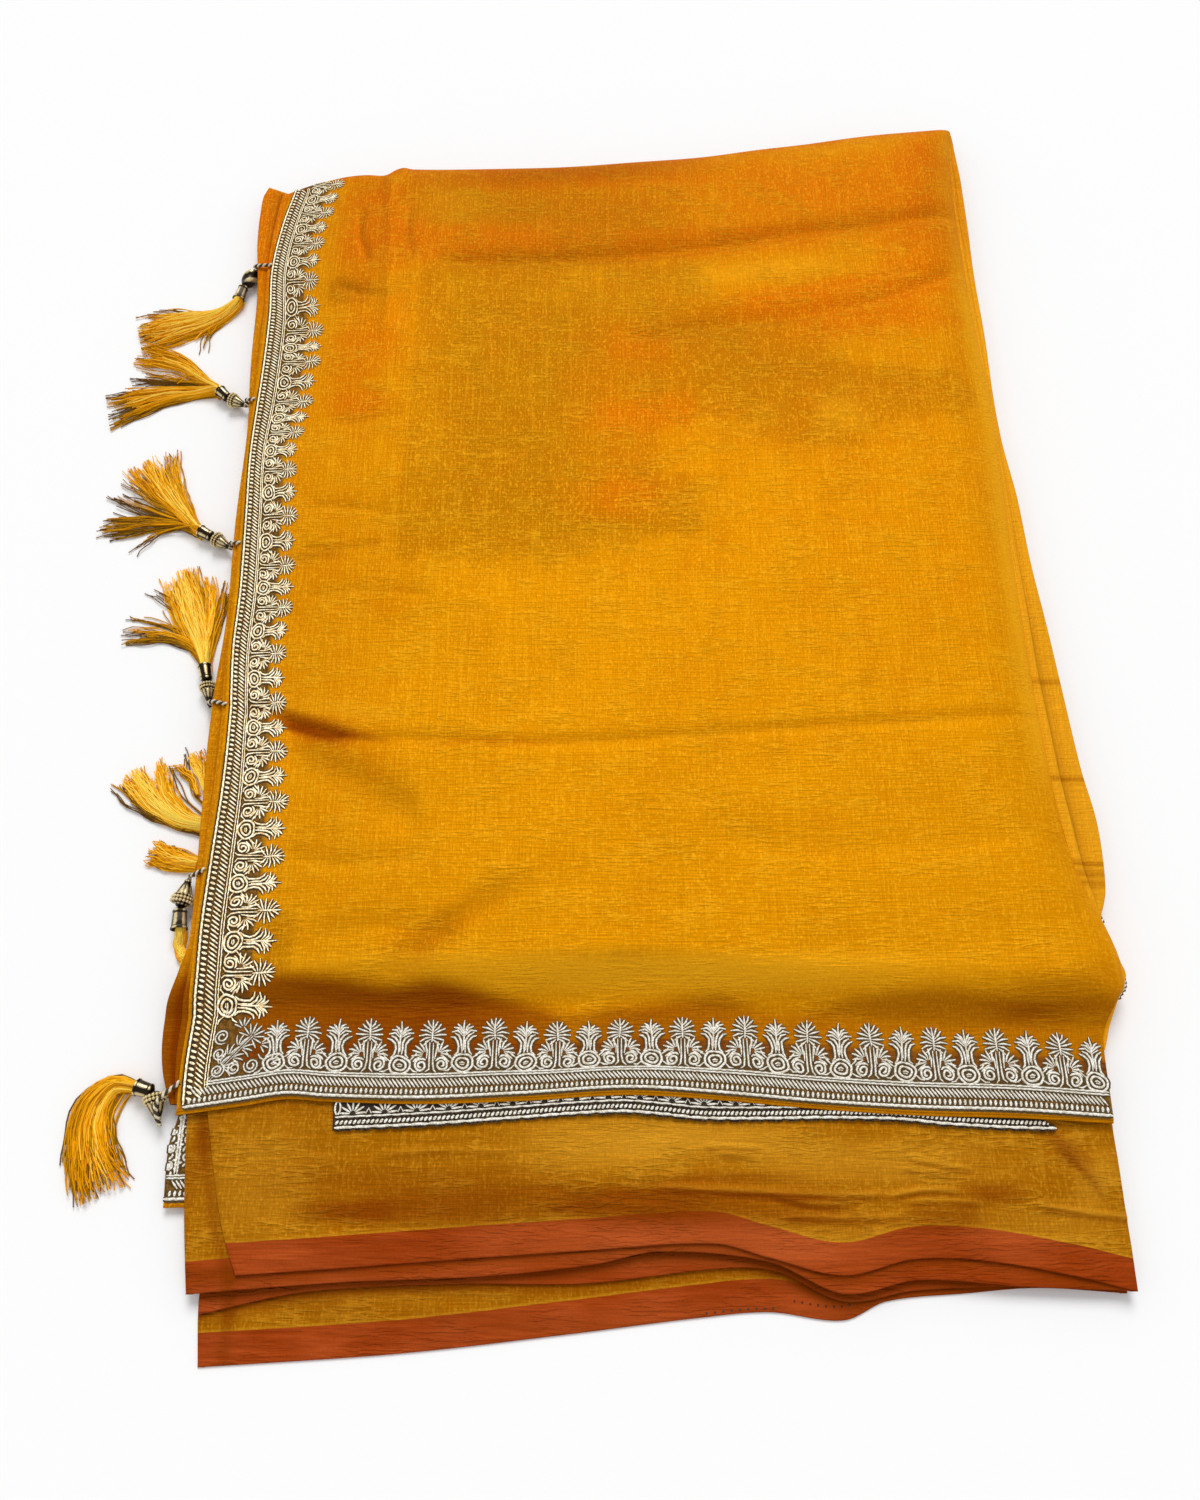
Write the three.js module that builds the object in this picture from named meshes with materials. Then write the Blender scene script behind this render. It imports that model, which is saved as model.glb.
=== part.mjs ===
// A silk sari folded into a flat stack, with its embroidered end panel on top.
// Millimetres, +Z up. +X runs towards the folded right side, +Y away from the four loose
// edges of the body cloth. The origin is on the flat underside, on the table.

import * as THREE from 'three';

// ---------------------------------------------------------------- driving sizes
const CLOTH = 1.1; // thickness of one layer of silk
const GAP = 0.3; // air kept between two layers that touch
const LAYER = CLOTH + GAP; // one step up the stack of loose edges
const BAND = 0.8; // height of the embroidery above its silk

const STACK_TOP = 22; // height of the folded stack
const HEM_LEVEL = 6; // layers under the near hem of the end panel
const HEM_TOP = HEM_LEVEL * LAYER + CLOTH; // height of that hem
const LEFT_DROP = 8.5; // how far the stack is lower at its left side
const LEFT_EASE = 95; // width over which it comes down there
const RIGHT_DROP = 9.5; // the same for the fold on the right
const RIGHT_EASE = 30;
const FAR_DROP = 8; // and for the fold at the far side
const FAR_EASE = 24;
const NEAR_FLAT = 36; // depth of the flat strip along the near hem
const NEAR_EASE = 62; // depth at which the slope behind it reaches the top
const CREASE_DEPTH = 1.1; // the crease pressed across the panel
const CREASE_WIDTH = 7;

const REPEAT = 26.8; // one repeat of the embroidery
const BORDER = 32; // depth of the embroidered border
const BORDER_VALLEY = 25; // depth of it between two flowers
const RAIL_INSET = 1.8; // plain hem outside the embroidery
const SELVEDGE = 12.5; // width of the woven red edge of the body cloth
const FLAP_BACK = -222.3; // where the loose edges go into the stack
const CORE_FRONT = -222; // front face of the hidden layers
const HEM_LIFT = 1.4; // how far the topmost loose edge stands up

// ---------------------------------------------------------------- outlines, seen from above
// Left hem and right fold of the end panel: where they run at each distance y.
const PANEL_LEFT = [
  { y: -247, x: -192 },
  { y: -192, x: -196 },
  { y: -106, x: -201 },
  { y: -7, x: -203 },
  { y: 68, x: -205 },
  { y: 155, x: -210 },
  { y: 242, x: -211 },
  { y: 302, x: -207 },
];
const PANEL_RIGHT = [
  { y: -251, x: 203 },
  { y: -214, x: 207 },
  { y: -203, x: 213 },
  { y: -192, x: 217 },
  { y: -174, x: 213 },
  { y: -145, x: 209 },
  { y: -62, x: 205 },
  { y: 57, x: 204 },
  { y: 110, x: 206 },
  { y: 229, x: 202 },
  { y: 322, x: 204 },
  { y: 359, x: 209 },
];
// Its near hem and far fold: where they run at each x.
const PANEL_NEAR = [
  { x: -193, y: -248 },
  { x: -125, y: -240 },
  { x: -88, y: -246 },
  { x: -49, y: -244 },
  { x: -2, y: -239 },
  { x: 54, y: -244 },
  { x: 122, y: -249 },
  { x: 203, y: -251 },
];
const PANEL_FAR = [
  { x: -207, y: 297 },
  { x: -188, y: 306 },
  { x: -148, y: 308 },
  { x: -137, y: 315 },
  { x: -40, y: 317 },
  { x: 47, y: 326 },
  { x: 98, y: 335 },
  { x: 162, y: 346 },
  { x: 209, y: 352 },
];

// The hidden layers reach further out than the end panel on both sides.
const STACK_LEFT = [
  { y: -222, x: -203 },
  { y: -200, x: -207 },
  { y: -172, x: -201 },
  { y: -103, x: -205 },
  { y: -3, x: -208 },
  { y: 73, x: -210 },
  { y: 160, x: -214 },
  { y: 202, x: -217 },
  { y: 271, x: -223 },
  { y: 302, x: -224 },
];
const STACK_RIGHT = [
  { y: -222, x: 209 },
  { y: -192, x: 221 },
  { y: -165, x: 214 },
  { y: -149, x: 217 },
  { y: -88, x: 217 },
  { y: -44, x: 215 },
  { y: 9, x: 213 },
  { y: 66, x: 210 },
  { y: 113, x: 207.5 },
  { y: 359, x: 210 },
];

// The side of the hidden layers, from the rim down: height as a share of the rim's,
// reach as a share of the way out to the outlines above, and the roll of each fold.
const STACK_SIDE = [
  { height: 0.87, reach: 0.35, roll: 0.2 },
  { height: 0.72, reach: 1.0, roll: 0.0 },
  { height: 0.61, reach: 1.0, roll: 0.0 },
  { height: 0.54, reach: 0.3, roll: -0.5 },
  { height: 0.42, reach: 0.3, roll: 1.2 },
  { height: 0.31, reach: 0.2, roll: -0.5 },
  { height: 0.19, reach: 0.3, roll: 1.2 },
  { height: 0.09, reach: 0.2, roll: -0.4 },
  { height: 0.0, reach: 0.2, roll: 0.6 },
];
const FAR_REACH = 2.5; // how far the far folds roll out past the rim

// The four loose edges of the body cloth, from the lowest up.
const FLAPS = [
  {
    name: 'lowest',
    level: 0,
    left: [{ y: -346, x: -176 }, { y: -321, x: -179 }, { y: -222, x: -182 }],
    right: [{ y: -319, x: 201 }, { y: -222, x: 203 }],
    near: [
      { x: -176, y: -346 },
      { x: -95, y: -341 },
      { x: -27, y: -334 },
      { x: 26, y: -328 },
      { x: 54, y: -326 },
      { x: 84, y: -329 },
      { x: 102, y: -322 },
      { x: 135, y: -319 },
      { x: 165, y: -317 },
      { x: 201, y: -319 },
    ],
  },
  {
    name: 'third',
    level: 1,
    left: [{ y: -327, x: -178 }, { y: -222, x: -184 }],
    right: [{ y: -318, x: 202 }, { y: -222, x: 203 }],
    near: [
      { x: -178, y: -327 },
      { x: -135, y: -318.5 },
      { x: -71, y: -315.5 },
      { x: -22, y: -315.5 },
      { x: 36, y: -309.7 },
      { x: 58, y: -311 },
      { x: 84, y: -322 },
      { x: 114, y: -318 },
      { x: 159, y: -316.5 },
      { x: 202, y: -318 },
    ],
  },
  {
    name: 'second',
    level: 3,
    left: [{ y: -319, x: -183 }, { y: -283, x: -189 }, { y: -248, x: -193 }, { y: -222, x: -194 }],
    right: [{ y: -318, x: 203 }, { y: -278, x: 204 }, { y: -222, x: 204 }],
    near: [
      { x: -183, y: -319.5 },
      { x: -124, y: -315.2 },
      { x: -60, y: -312.6 },
      { x: -17, y: -308.3 },
      { x: 9, y: -303.5 },
      { x: 54, y: -307.3 },
      { x: 84, y: -319.3 },
      { x: 115, y: -314.1 },
      { x: 157, y: -316.5 },
      { x: 203, y: -318.3 },
    ],
  },
  {
    name: 'upper',
    level: 4,
    left: [{ y: -313, x: -163 }, { y: -295, x: -171 }, { y: -268, x: -179 }, { y: -222, x: -190 }],
    right: [{ y: -318, x: 203 }, { y: -278, x: 204 }, { y: -222, x: 205 }],
    near: [
      { x: -163, y: -312.5 },
      { x: -124, y: -310 },
      { x: -81, y: -307 },
      { x: -22, y: -303.2 },
      { x: 32, y: -300.5 },
      { x: 54, y: -305.8 },
      { x: 84, y: -312.5 },
      { x: 114, y: -306.4 },
      { x: 144, y: -307.1 },
      { x: 181, y: -313.3 },
      { x: 203, y: -318.5 },
    ],
  },
];

// The corner of the back half of the end panel, which reaches out from under the front half.
const BACK_HALF = {
  level: 2,
  left: [{ y: -287, x: -198 }, { y: -262, x: -199.5 }, { y: -246, x: -197 }, { y: -222, x: -202 }],
  right: [{ y: -287, x: -150 }, { y: -222, x: -150 }],
  near: [{ x: -199, y: -286.5 }, { x: -150, y: -285.5 }],
};

// The backed reverse of the border, which shows as a strip under the near hem.
const REVERSE_STRIP = {
  level: 5,
  left: [{ y: -256, x: -129 }, { y: -236, x: -130 }],
  right: [{ y: -259, x: 182 }, { y: -236, x: 170 }],
  near: [
    { x: -129, y: -256 },
    { x: -49, y: -252 },
    { x: -6, y: -249 },
    { x: 62, y: -251 },
    { x: 130, y: -254.5 },
    { x: 182, y: -259 },
  ],
};
const REVERSE_BACK = -236;

// ---------------------------------------------------------------- colours
const SILK = { color: 0xe09010, roughness: 0.5, metalness: 0 };
const SILK_SHADE = { color: 0xb87814, roughness: 0.55, metalness: 0 };
const SELVEDGE_RED = { color: 0xb0421a, roughness: 0.6, metalness: 0 };
const SILVER_THREAD = { color: 0xc8bfb0, roughness: 0.4, metalness: 0.5 };
const BLACK_BACKING = { color: 0x2a1c10, roughness: 0.8, metalness: 0 };
const TASSEL_THREAD = { color: 0xf2a516, roughness: 0.5, metalness: 0 };
const ANTIQUE_GOLD = { color: 0x7a6236, roughness: 0.35, metalness: 0.9 };

// ---------------------------------------------------------------- lines and surfaces
const mix = (a, b, share) => a + (b - a) * share;
const clamp = (value, low, high) => Math.min(high, Math.max(low, value));
const ease = (share) => share * share * (3 - 2 * share);

// A smooth line through the rows of a table, from one named column to another.
function through(rows, from, to) {
  const slope = (i) => {
    const before = rows[Math.max(0, i - 1)];
    const after = rows[Math.min(rows.length - 1, i + 1)];
    return (after[to] - before[to]) / (after[from] - before[from]);
  };
  return (value) => {
    const at = clamp(value, rows[0][from], rows[rows.length - 1][from]);
    const i = clamp(rows.findIndex((row) => row[from] >= at), 1, rows.length - 1);
    const [a, b] = [rows[i - 1], rows[i]];
    const span = b[from] - a[from];
    const t = (at - a[from]) / span;
    const ends = mix(a[to], b[to], ease(t));
    return ends + span * t * (1 - t) * ((1 - t) * slope(i - 1) - t * slope(i));
  };
}

// A line of stations across or along a piece: a share of the way, and an inset in mm.
const station = (share, inset = 0) => ({ share, inset });
const between = (from, to, steps) =>
  Array.from({ length: steps + 1 }, (_, i) => ({
    share: mix(from.share, to.share, i / steps),
    inset: mix(from.inset, to.inset, i / steps),
  }));

// Where a station across meets a station along, between four outlines.
function place(edges, across, along) {
  const point = new THREE.Vector2();
  for (let pass = 0; pass < 5; pass += 1) {
    point.y = mix(edges.near(point.x), edges.far(point.x), along.share) + along.inset;
    point.x = mix(edges.left(point.y), edges.right(point.y), across.share) + across.inset;
  }
  return point;
}

// Rows of points over an outline, at the height that a function gives.
function grid(edges, acrosses, alongs, height) {
  return alongs.map((along) =>
    acrosses.map((across) => {
      const { x, y } = place(edges, across, along);
      return new THREE.Vector3(x, y, height(x, y));
    }),
  );
}

// The same rows, each point moved out along the surface's normal.
function moved(rows, distance) {
  const last = (list) => list.length - 1;
  return rows.map((row, i) =>
    row.map((point, j) => {
      const alongX = row[Math.min(j + 1, last(row))].clone().sub(row[Math.max(j - 1, 0)]);
      const alongY = rows[Math.min(i + 1, last(rows))][j].clone().sub(rows[Math.max(i - 1, 0)][j]);
      const normal = alongX.cross(alongY).normalize();
      return point.clone().addScaledVector(normal, distance);
    }),
  );
}

// A closed mesh from a list of points and the faces over them.
function solid(points, triangles) {
  const geometry = new THREE.BufferGeometry().setFromPoints(points);
  geometry.setIndex(triangles.flat());
  geometry.computeVertexNormals();
  return geometry;
}

const quad = (a, b, c, d) => [[a, b, c], [a, c, d]];

// The closed wall between an upper and a lower surface with the same rows.
function wall(upper, lower) {
  const rows = upper.length;
  const columns = upper[0].length;
  const top = (i, j) => i * columns + j;
  const bottom = (i, j) => rows * columns + top(i, j);
  const faces = [];
  for (let i = 0; i < rows - 1; i += 1) {
    for (let j = 0; j < columns - 1; j += 1) {
      faces.push(...quad(top(i, j), top(i, j + 1), top(i + 1, j + 1), top(i + 1, j)));
      faces.push(...quad(bottom(i, j), bottom(i + 1, j), bottom(i + 1, j + 1), bottom(i, j + 1)));
    }
  }
  const rim = perimeter(rows, columns);
  rim.forEach(([i, j], k) => {
    const [nextI, nextJ] = rim[(k + 1) % rim.length];
    faces.push(...quad(top(i, j), bottom(i, j), bottom(nextI, nextJ), top(nextI, nextJ)));
  });
  return solid([...upper.flat(), ...lower.flat()], faces);
}

// The row and column of each point round the outside of a grid, anticlockwise from above.
function perimeter(rows, columns) {
  const loop = [];
  for (let j = 0; j < columns - 1; j += 1) loop.push([0, j]);
  for (let i = 0; i < rows - 1; i += 1) loop.push([i, columns - 1]);
  for (let j = columns - 1; j > 0; j -= 1) loop.push([rows - 1, j]);
  for (let i = rows - 1; i > 0; i -= 1) loop.push([i, 0]);
  return loop;
}

// ---------------------------------------------------------------- the end panel on top
const panelEdges = {
  left: through(PANEL_LEFT, 'y', 'x'),
  right: through(PANEL_RIGHT, 'y', 'x'),
  near: through(PANEL_NEAR, 'x', 'y'),
  far: through(PANEL_FAR, 'x', 'y'),
};
const creaseLine = through([
  { x: -205, y: -62 },
  { x: -120, y: -79 },
  { x: -40, y: -80 },
  { x: 60, y: -72 },
  { x: 207, y: -63 },
], 'x', 'y');

// How far an edge pulls the panel down, from the distance to it: eased, or rolled like a fold.
const easedDrop = (drop, distance, width) => drop * (1 - ease(clamp(distance / width, 0, 1)));
const rolledDrop = (drop, distance, width) =>
  drop * (1 - Math.sqrt(1 - (1 - clamp(distance / width, 0, 1)) ** 2));

function panelHeight(x, y) {
  const fromHem = y - panelEdges.near(x);
  const nearDrop = easedDrop(STACK_TOP - HEM_TOP, fromHem - NEAR_FLAT, NEAR_EASE - NEAR_FLAT);
  const leftDrop = easedDrop(LEFT_DROP, x - panelEdges.left(y), LEFT_EASE);
  const rightDrop = rolledDrop(RIGHT_DROP, panelEdges.right(y) - x, RIGHT_EASE);
  const farDrop = rolledDrop(FAR_DROP, panelEdges.far(x) - y, FAR_EASE);
  const together = (nearDrop ** 4 + leftDrop ** 4 + rightDrop ** 4 + farDrop ** 4) ** 0.25;
  const crease = CREASE_DEPTH * Math.exp(-(((y - creaseLine(x)) / CREASE_WIDTH) ** 2));
  return Math.max(HEM_TOP, STACK_TOP - together - crease);
}

const CELL = 1.5 * REPEAT; // size of the panel's grid, in step with the embroidery
const cellsOver = (length) => Math.round(length / CELL);
const FOLD_SHARES = [0.55, 0.25, 0.07, 0]; // grid lines round a fold, as shares of its width
const BORDER_LINES = [0, RAIL_INSET, 12, 22, BORDER]; // grid lines along a bordered hem
const SLOPE_LINES = [37, 43, 49, 55, NEAR_EASE]; // grid lines down the slope behind it

const PANEL_COLUMNS = [
  ...BORDER_LINES.map((inset) => station(0, inset)),
  ...between(station(0, BORDER), station(1, -RIGHT_EASE), cellsOver(340)).slice(1),
  ...FOLD_SHARES.map((share) => station(1, -share * RIGHT_EASE)),
];
const PANEL_ROWS = [
  ...[...BORDER_LINES, ...SLOPE_LINES].map((inset) => station(0, inset)),
  ...between(station(0, NEAR_EASE), station(1, -FAR_EASE), cellsOver(490)).slice(1),
  ...FOLD_SHARES.map((share) => station(1, -share * FAR_EASE)),
];
const panelTop = grid(panelEdges, PANEL_COLUMNS, PANEL_ROWS, panelHeight);
const panelRise = moved(panelTop, 1);

// A point over the panel at a fractional row and column of its grid, lifted off it.
function overPanel(row, column, lift) {
  const i = clamp(Math.floor(row), 0, panelTop.length - 2);
  const j = clamp(Math.floor(column), 0, panelTop[0].length - 2);
  const at = (rows) => {
    const nearSide = rows[i][j].clone().lerp(rows[i][j + 1], column - j);
    const farSide = rows[i + 1][j].clone().lerp(rows[i + 1][j + 1], column - j);
    return nearSide.lerp(farSide, row - i);
  };
  return at(panelTop).lerp(at(panelRise), lift);
}

// ---------------------------------------------------------------- embroidered borders
const FIRST_LINE = BORDER_LINES.length - 1; // past the mitred corner
const MITRE_GAP = 0.05; // of a grid line, left open along the mitre

// Steps a quarter of a repeat long over a line of grid points, past the mitred corner.
function stepsOver(line) {
  const steps = [];
  let run = 0;
  for (let i = FIRST_LINE; i < line.length - 1; i += 1) {
    const length = line[i].distanceTo(line[i + 1]);
    const count = Math.max(1, Math.round(length / (REPEAT / 4)));
    for (let k = 0; k < count; k += 1) {
      steps.push({ at: i + k / count, run: run + (k * length) / count });
    }
    run += length;
  }
  return [...steps, { at: line.length - 1, run }];
}

// How deep the embroidery reaches: to the flowers' tips, two to each repeat.
const tipDepth = (run) =>
  mix(BORDER_VALLEY, BORDER, Math.abs(Math.cos((2 * Math.PI * run) / REPEAT)));

// Upper and lower points of a border from its mitre on. Its lines run from the outer rail,
// grid line 1, through lines 2 and 3 to the flowers' tips, between lines 3 and 4.
function borderSurfaces(steps, toPoint, gap) {
  const innerDepth = BORDER_LINES[3];
  const tipLine = (run) => 3 + (tipDepth(run) - innerDepth) / (BORDER - innerDepth);
  const surface = (lift) => [
    [1, 2, 3, FIRST_LINE].map((line) => toPoint(line + gap, line, lift)),
    ...steps.slice(1).map(({ at, run }) =>
      [1, 2, 3, tipLine(run)].map((line) => toPoint(at, line, lift)),
    ),
  ];
  return [surface(GAP + BAND), surface(GAP)];
}

const alongX = (at, line, lift) => overPanel(line, at, lift);
const alongY = (at, line, lift) => overPanel(at, line, lift);
const turned = (rows) => rows[0].map((_, j) => rows.map((row) => row[j]));

function sideBorder() {
  const steps = stepsOver(panelTop[0]);
  const [upper, lower] = borderSurfaces(steps, alongX, 0);
  return wall(turned(upper), turned(lower));
}

function endBorder() {
  const steps = stepsOver(panelTop.map((row) => row[0]));
  const [upper, lower] = borderSurfaces(steps, alongY, MITRE_GAP);
  return wall(upper, lower);
}

// ---------------------------------------------------------------- the hidden layers
const stackLeft = through(STACK_LEFT, 'y', 'x');
const stackRight = through(STACK_RIGHT, 'y', 'x');

function hiddenLayers() {
  const firstRow = BORDER_LINES.length;
  const inner = moved(panelTop, -LAYER).slice(firstRow);
  const front = inner[0].map(({ x }) => new THREE.Vector3(x, CORE_FRONT, HEM_TOP - LAYER));
  const top = [front, ...inner];
  const lastRow = top.length - 1;
  const lastColumn = front.length - 1;
  const rim = perimeter(top.length, front.length);

  const ring = ({ height, reach, roll }) =>
    rim.map(([i, j]) => {
      const point = top[i][j].clone();
      if (j === 0) point.x += Math.min(0, stackLeft(point.y) - point.x) * reach - roll;
      if (j === lastColumn) point.x += Math.max(0, stackRight(point.y) - point.x) * reach + roll;
      if (i === lastRow) point.y += FAR_REACH * Math.min(1, reach * 2) + roll;
      point.z *= height;
      return point;
    });

  const columns = front.length;
  const topPoints = top.flat();
  const rings = STACK_SIDE.map(ring);
  const faces = [];
  for (let i = 0; i < lastRow; i += 1) {
    for (let j = 0; j < lastColumn; j += 1) {
      const a = i * columns + j;
      faces.push(...quad(a, a + 1, a + columns + 1, a + columns));
    }
  }
  const rimIndex = (level, k) => {
    const [i, j] = rim[k % rim.length];
    return level < 0 ? i * columns + j : topPoints.length + level * rim.length + (k % rim.length);
  };
  for (let level = 0; level < rings.length; level += 1) {
    for (let k = 0; k < rim.length; k += 1) {
      faces.push(...quad(
        rimIndex(level - 1, k), rimIndex(level, k), rimIndex(level, k + 1), rimIndex(level - 1, k + 1),
      ));
    }
  }
  const sole = rings.at(-1);
  const soleStart = topPoints.length + (rings.length - 1) * rim.length;
  for (const [a, b, c] of THREE.ShapeUtils.triangulateShape(sole, [])) {
    faces.push([soleStart + a, soleStart + c, soleStart + b]);
  }
  return solid([...topPoints, ...rings.flat()], faces);
}

// ---------------------------------------------------------------- loose edges and strips
const FLAP_CELLS = 22;
const LIFT_START = -262; // the edges begin to stand up here
const LIFT_EASE = 40;

// A loose edge stands up a little in slow waves, the higher its layer the more.
function flapLift(level, x, y) {
  const rise = ease(clamp((LIFT_START - y) / LIFT_EASE, 0, 1));
  return HEM_LIFT * (level / FLAPS.length) * rise * (0.6 + 0.4 * Math.sin(x / 38));
}

function layer({ left, right, near, level, back = FLAP_BACK }) {
  const edges = {
    left: through(left, 'y', 'x'),
    right: through(right, 'y', 'x'),
    near: through(near, 'x', 'y'),
    far: () => back,
  };
  const height = (x, y) => level * LAYER + CLOTH + flapLift(level, x, y);
  return { edges, height };
}

const lowered = (rows, drop) =>
  rows.map((row) => row.map(({ x, y, z }) => new THREE.Vector3(x, y, z - drop)));

function layerGeometry({ edges, height }, acrosses, alongs, thickness = CLOTH) {
  const upper = grid(edges, acrosses, alongs, height);
  return wall(upper, lowered(upper, thickness));
}

// ---------------------------------------------------------------- tassels
const LINK_RADIUS = 0.8;
const CONE = [ // radius at each share of its length, from the tip
  { share: 0, radius: 1.2 },
  { share: 0.15, radius: 1.6 },
  { share: 0.6, radius: 3.3 },
  { share: 0.68, radius: 4.4 },
  { share: 0.84, radius: 4.4 },
  { share: 0.92, radius: 3.2 },
  { share: 1, radius: 1.7 },
];
const CAP = [
  { share: 0, radius: 1.7 },
  { share: 0.14, radius: 3.0 },
  { share: 1, radius: 3.6 },
];
const NECK_RADIUS = 1.7;
const BEAD_HEIGHT = 4.7; // axis of the beads above the table
const SKIRT_CLEAR = 0.2; // thread ends above the table
const LINK_RISE = 11; // height of the link over the layer that it crosses

// Tip, neck and mouth of the metal parts; then the thread skirt's centre line past the mouth,
// each point with the skirt's width and height there.
const SKIRT_ROOT = { width: 6, height: 5 }; // where the threads leave the cap
const ROOT_RUN = 3; // they stay that narrow for so long
const TASSELS = [
  {
    hem: 240, tip: [-222.5, 243], neck: [-228.6, 232.5], mouth: [-230.8, 221],
    skirt: [
      { x: -243, y: 210, width: 14, height: 4.5 },
      { x: -262, y: 203.5, width: 22, height: 4 },
      { x: -286, y: 198, width: 29, height: 3 },
    ],
  },
  {
    hem: 137.5, tip: [-216, 140.5], neck: [-226.5, 145.5], mouth: [-232.5, 151.5],
    skirt: [
      { x: -246, y: 158, width: 15, height: 4.5 },
      { x: -266, y: 160, width: 30, height: 4 },
      { x: -293, y: 156, width: 50, height: 3 },
    ],
  },
  {
    hem: 41, tip: [-212, 43.5], neck: [-222.6, 50.5], mouth: [-230, 54.8],
    skirt: [
      { x: -243, y: 61, width: 15, height: 4.5 },
      { x: -259, y: 71, width: 32, height: 4 },
      { x: -278, y: 84, width: 58, height: 3 },
    ],
  },
  {
    hem: -54.5, tip: [-210.8, -49.5], neck: [-213.6, -37.5], mouth: [-216.2, -28],
    skirt: [
      { x: -220.5, y: -15, width: 15, height: 4.5 },
      { x: -229, y: 3, width: 32, height: 4 },
      { x: -242, y: 26, width: 50, height: 3 },
    ],
  },
  {
    hem: -140.5, tip: [-207.4, -143.2], neck: [-209.3, -156], mouth: [-208.3, -167],
    skirt: [
      { x: -206.4, y: -176, width: 4.6, height: 4.4 },
      { x: -204.8, y: -181, width: 4.2, height: 4 },
    ],
  },
  {
    hem: -236, tip: [-204.8, -251], neck: [-208.4, -239.6], mouth: [-216.4, -237.4],
    skirt: [
      { x: -228, y: -236.5, width: 12, height: 5 },
      { x: -235.6, y: -246, width: 18, height: 4.5 },
      { x: -234.6, y: -263, width: 22, height: 4 },
      { x: -225.5, y: -283, width: 29, height: 3 },
    ],
  },
];
// Skirts of the back half's tassels, whose metal parts lie under the folded layers.
const TUCKED_SKIRTS = [
  [
    { x: -207.9, y: -97, width: 9, height: 4 },
    { x: -212, y: -88, width: 12, height: 4 },
    { x: -218.5, y: -78.5, width: 12, height: 3 },
  ],
  [
    { x: -204.6, y: -114, width: 8, height: 4 },
    { x: -217, y: -111, width: 12, height: 4 },
    { x: -230, y: -101, width: 18, height: 3.5 },
    { x: -240, y: -83, width: 31, height: 3 },
  ],
  [
    { x: -203.3, y: -130, width: 13, height: 4 },
    { x: -217, y: -128.5, width: 15, height: 4 },
    { x: -230, y: -124, width: 8, height: 3 },
  ],
];

const flatPoint = ([x, y], z) => new THREE.Vector3(x, y, z);

function turnedPiece(profile, length) {
  const outline = profile.map(({ share, radius }) => new THREE.Vector2(radius, share * length));
  return new THREE.LatheGeometry(
    [new THREE.Vector2(0, 0), ...outline, new THREE.Vector2(0, length)], 10,
  );
}

// The reach of a skirt of threads lying on the table: sections along its centre line.
function skirtGeometry(rows) {
  const SIDES = 8;
  const centre = rows.map(({ x, y }) => new THREE.Vector2(x, y));
  const points = [];
  rows.forEach(({ x, y, width, height }, i) => {
    const before = centre[Math.max(0, i - 1)];
    const after = centre[Math.min(rows.length - 1, i + 1)];
    const forward = after.clone().sub(before).normalize();
    const across = new THREE.Vector2(forward.y, -forward.x);
    for (let k = 0; k < SIDES; k += 1) {
      const turn = ((k + 0.5) * 2 * Math.PI) / SIDES;
      const aside = Math.cos(turn) * (width / 2);
      const up = SKIRT_CLEAR + (height / 2) * (1 + Math.sin(turn));
      points.push(new THREE.Vector3(x + across.x * aside, y + across.y * aside, up));
    }
  });
  const faces = [];
  const at = (i, k) => i * SIDES + (k % SIDES);
  for (let i = 0; i < rows.length - 1; i += 1) {
    for (let k = 0; k < SIDES; k += 1) {
      faces.push(...quad(at(i, k), at(i + 1, k), at(i + 1, k + 1), at(i, k + 1)));
    }
  }
  for (let k = 1; k < SIDES - 1; k += 1) {
    faces.push([at(0, 0), at(0, k), at(0, k + 1)]);
    faces.push([at(rows.length - 1, 0), at(rows.length - 1, k + 1), at(rows.length - 1, k)]);
  }
  return solid(points, faces);
}

// The thread from the hem over the layer beside it and down to the tip of the cone.
function linkGeometry(hem, tip, neck) {
  const start = new THREE.Vector3(panelEdges.left(hem) - GAP - LINK_RADIUS, hem, 0);
  start.z = panelHeight(start.x + 2, hem) - CLOTH / 2;
  const over = flatPoint([Math.min(stackLeft(hem), start.x) - 1.2, mix(hem, tip[1], 0.6)], LINK_RISE);
  const tipPoint = flatPoint(tip, BEAD_HEIGHT);
  const back = tipPoint.clone().sub(flatPoint(neck, BEAD_HEIGHT)).normalize();
  const end = tipPoint.clone().addScaledVector(back, GAP + 0.1);
  const before = tipPoint.clone().addScaledVector(back, 3 * LINK_RADIUS).setZ(BEAD_HEIGHT + 0.8);
  const path = new THREE.CatmullRomCurve3([start, over, before, end]);
  const section = new THREE.Shape();
  section.absarc(0, 0, LINK_RADIUS, 0, 2 * Math.PI);
  return new THREE.ExtrudeGeometry(section, { extrudePath: path, steps: 8, curveSegments: 6 });
}

// ---------------------------------------------------------------- the sari
const sari = new THREE.Group();

function add(name, geometry, finish, pose) {
  const mesh = new THREE.Mesh(geometry, new THREE.MeshStandardMaterial(finish));
  mesh.name = name;
  if (pose) {
    mesh.position.copy(pose.from);
    const along = pose.to.clone().sub(pose.from).normalize();
    mesh.quaternion.setFromUnitVectors(new THREE.Vector3(0, 1, 0), along);
  }
  sari.add(mesh);
}

add('folded_layers', hiddenLayers(), SILK_SHADE);
add('end_panel_front', wall(panelTop, moved(panelTop, -CLOTH)), SILK);
add('end_border_front', endBorder(), SILVER_THREAD);
add('side_border_front', sideBorder(), SILVER_THREAD);

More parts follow.
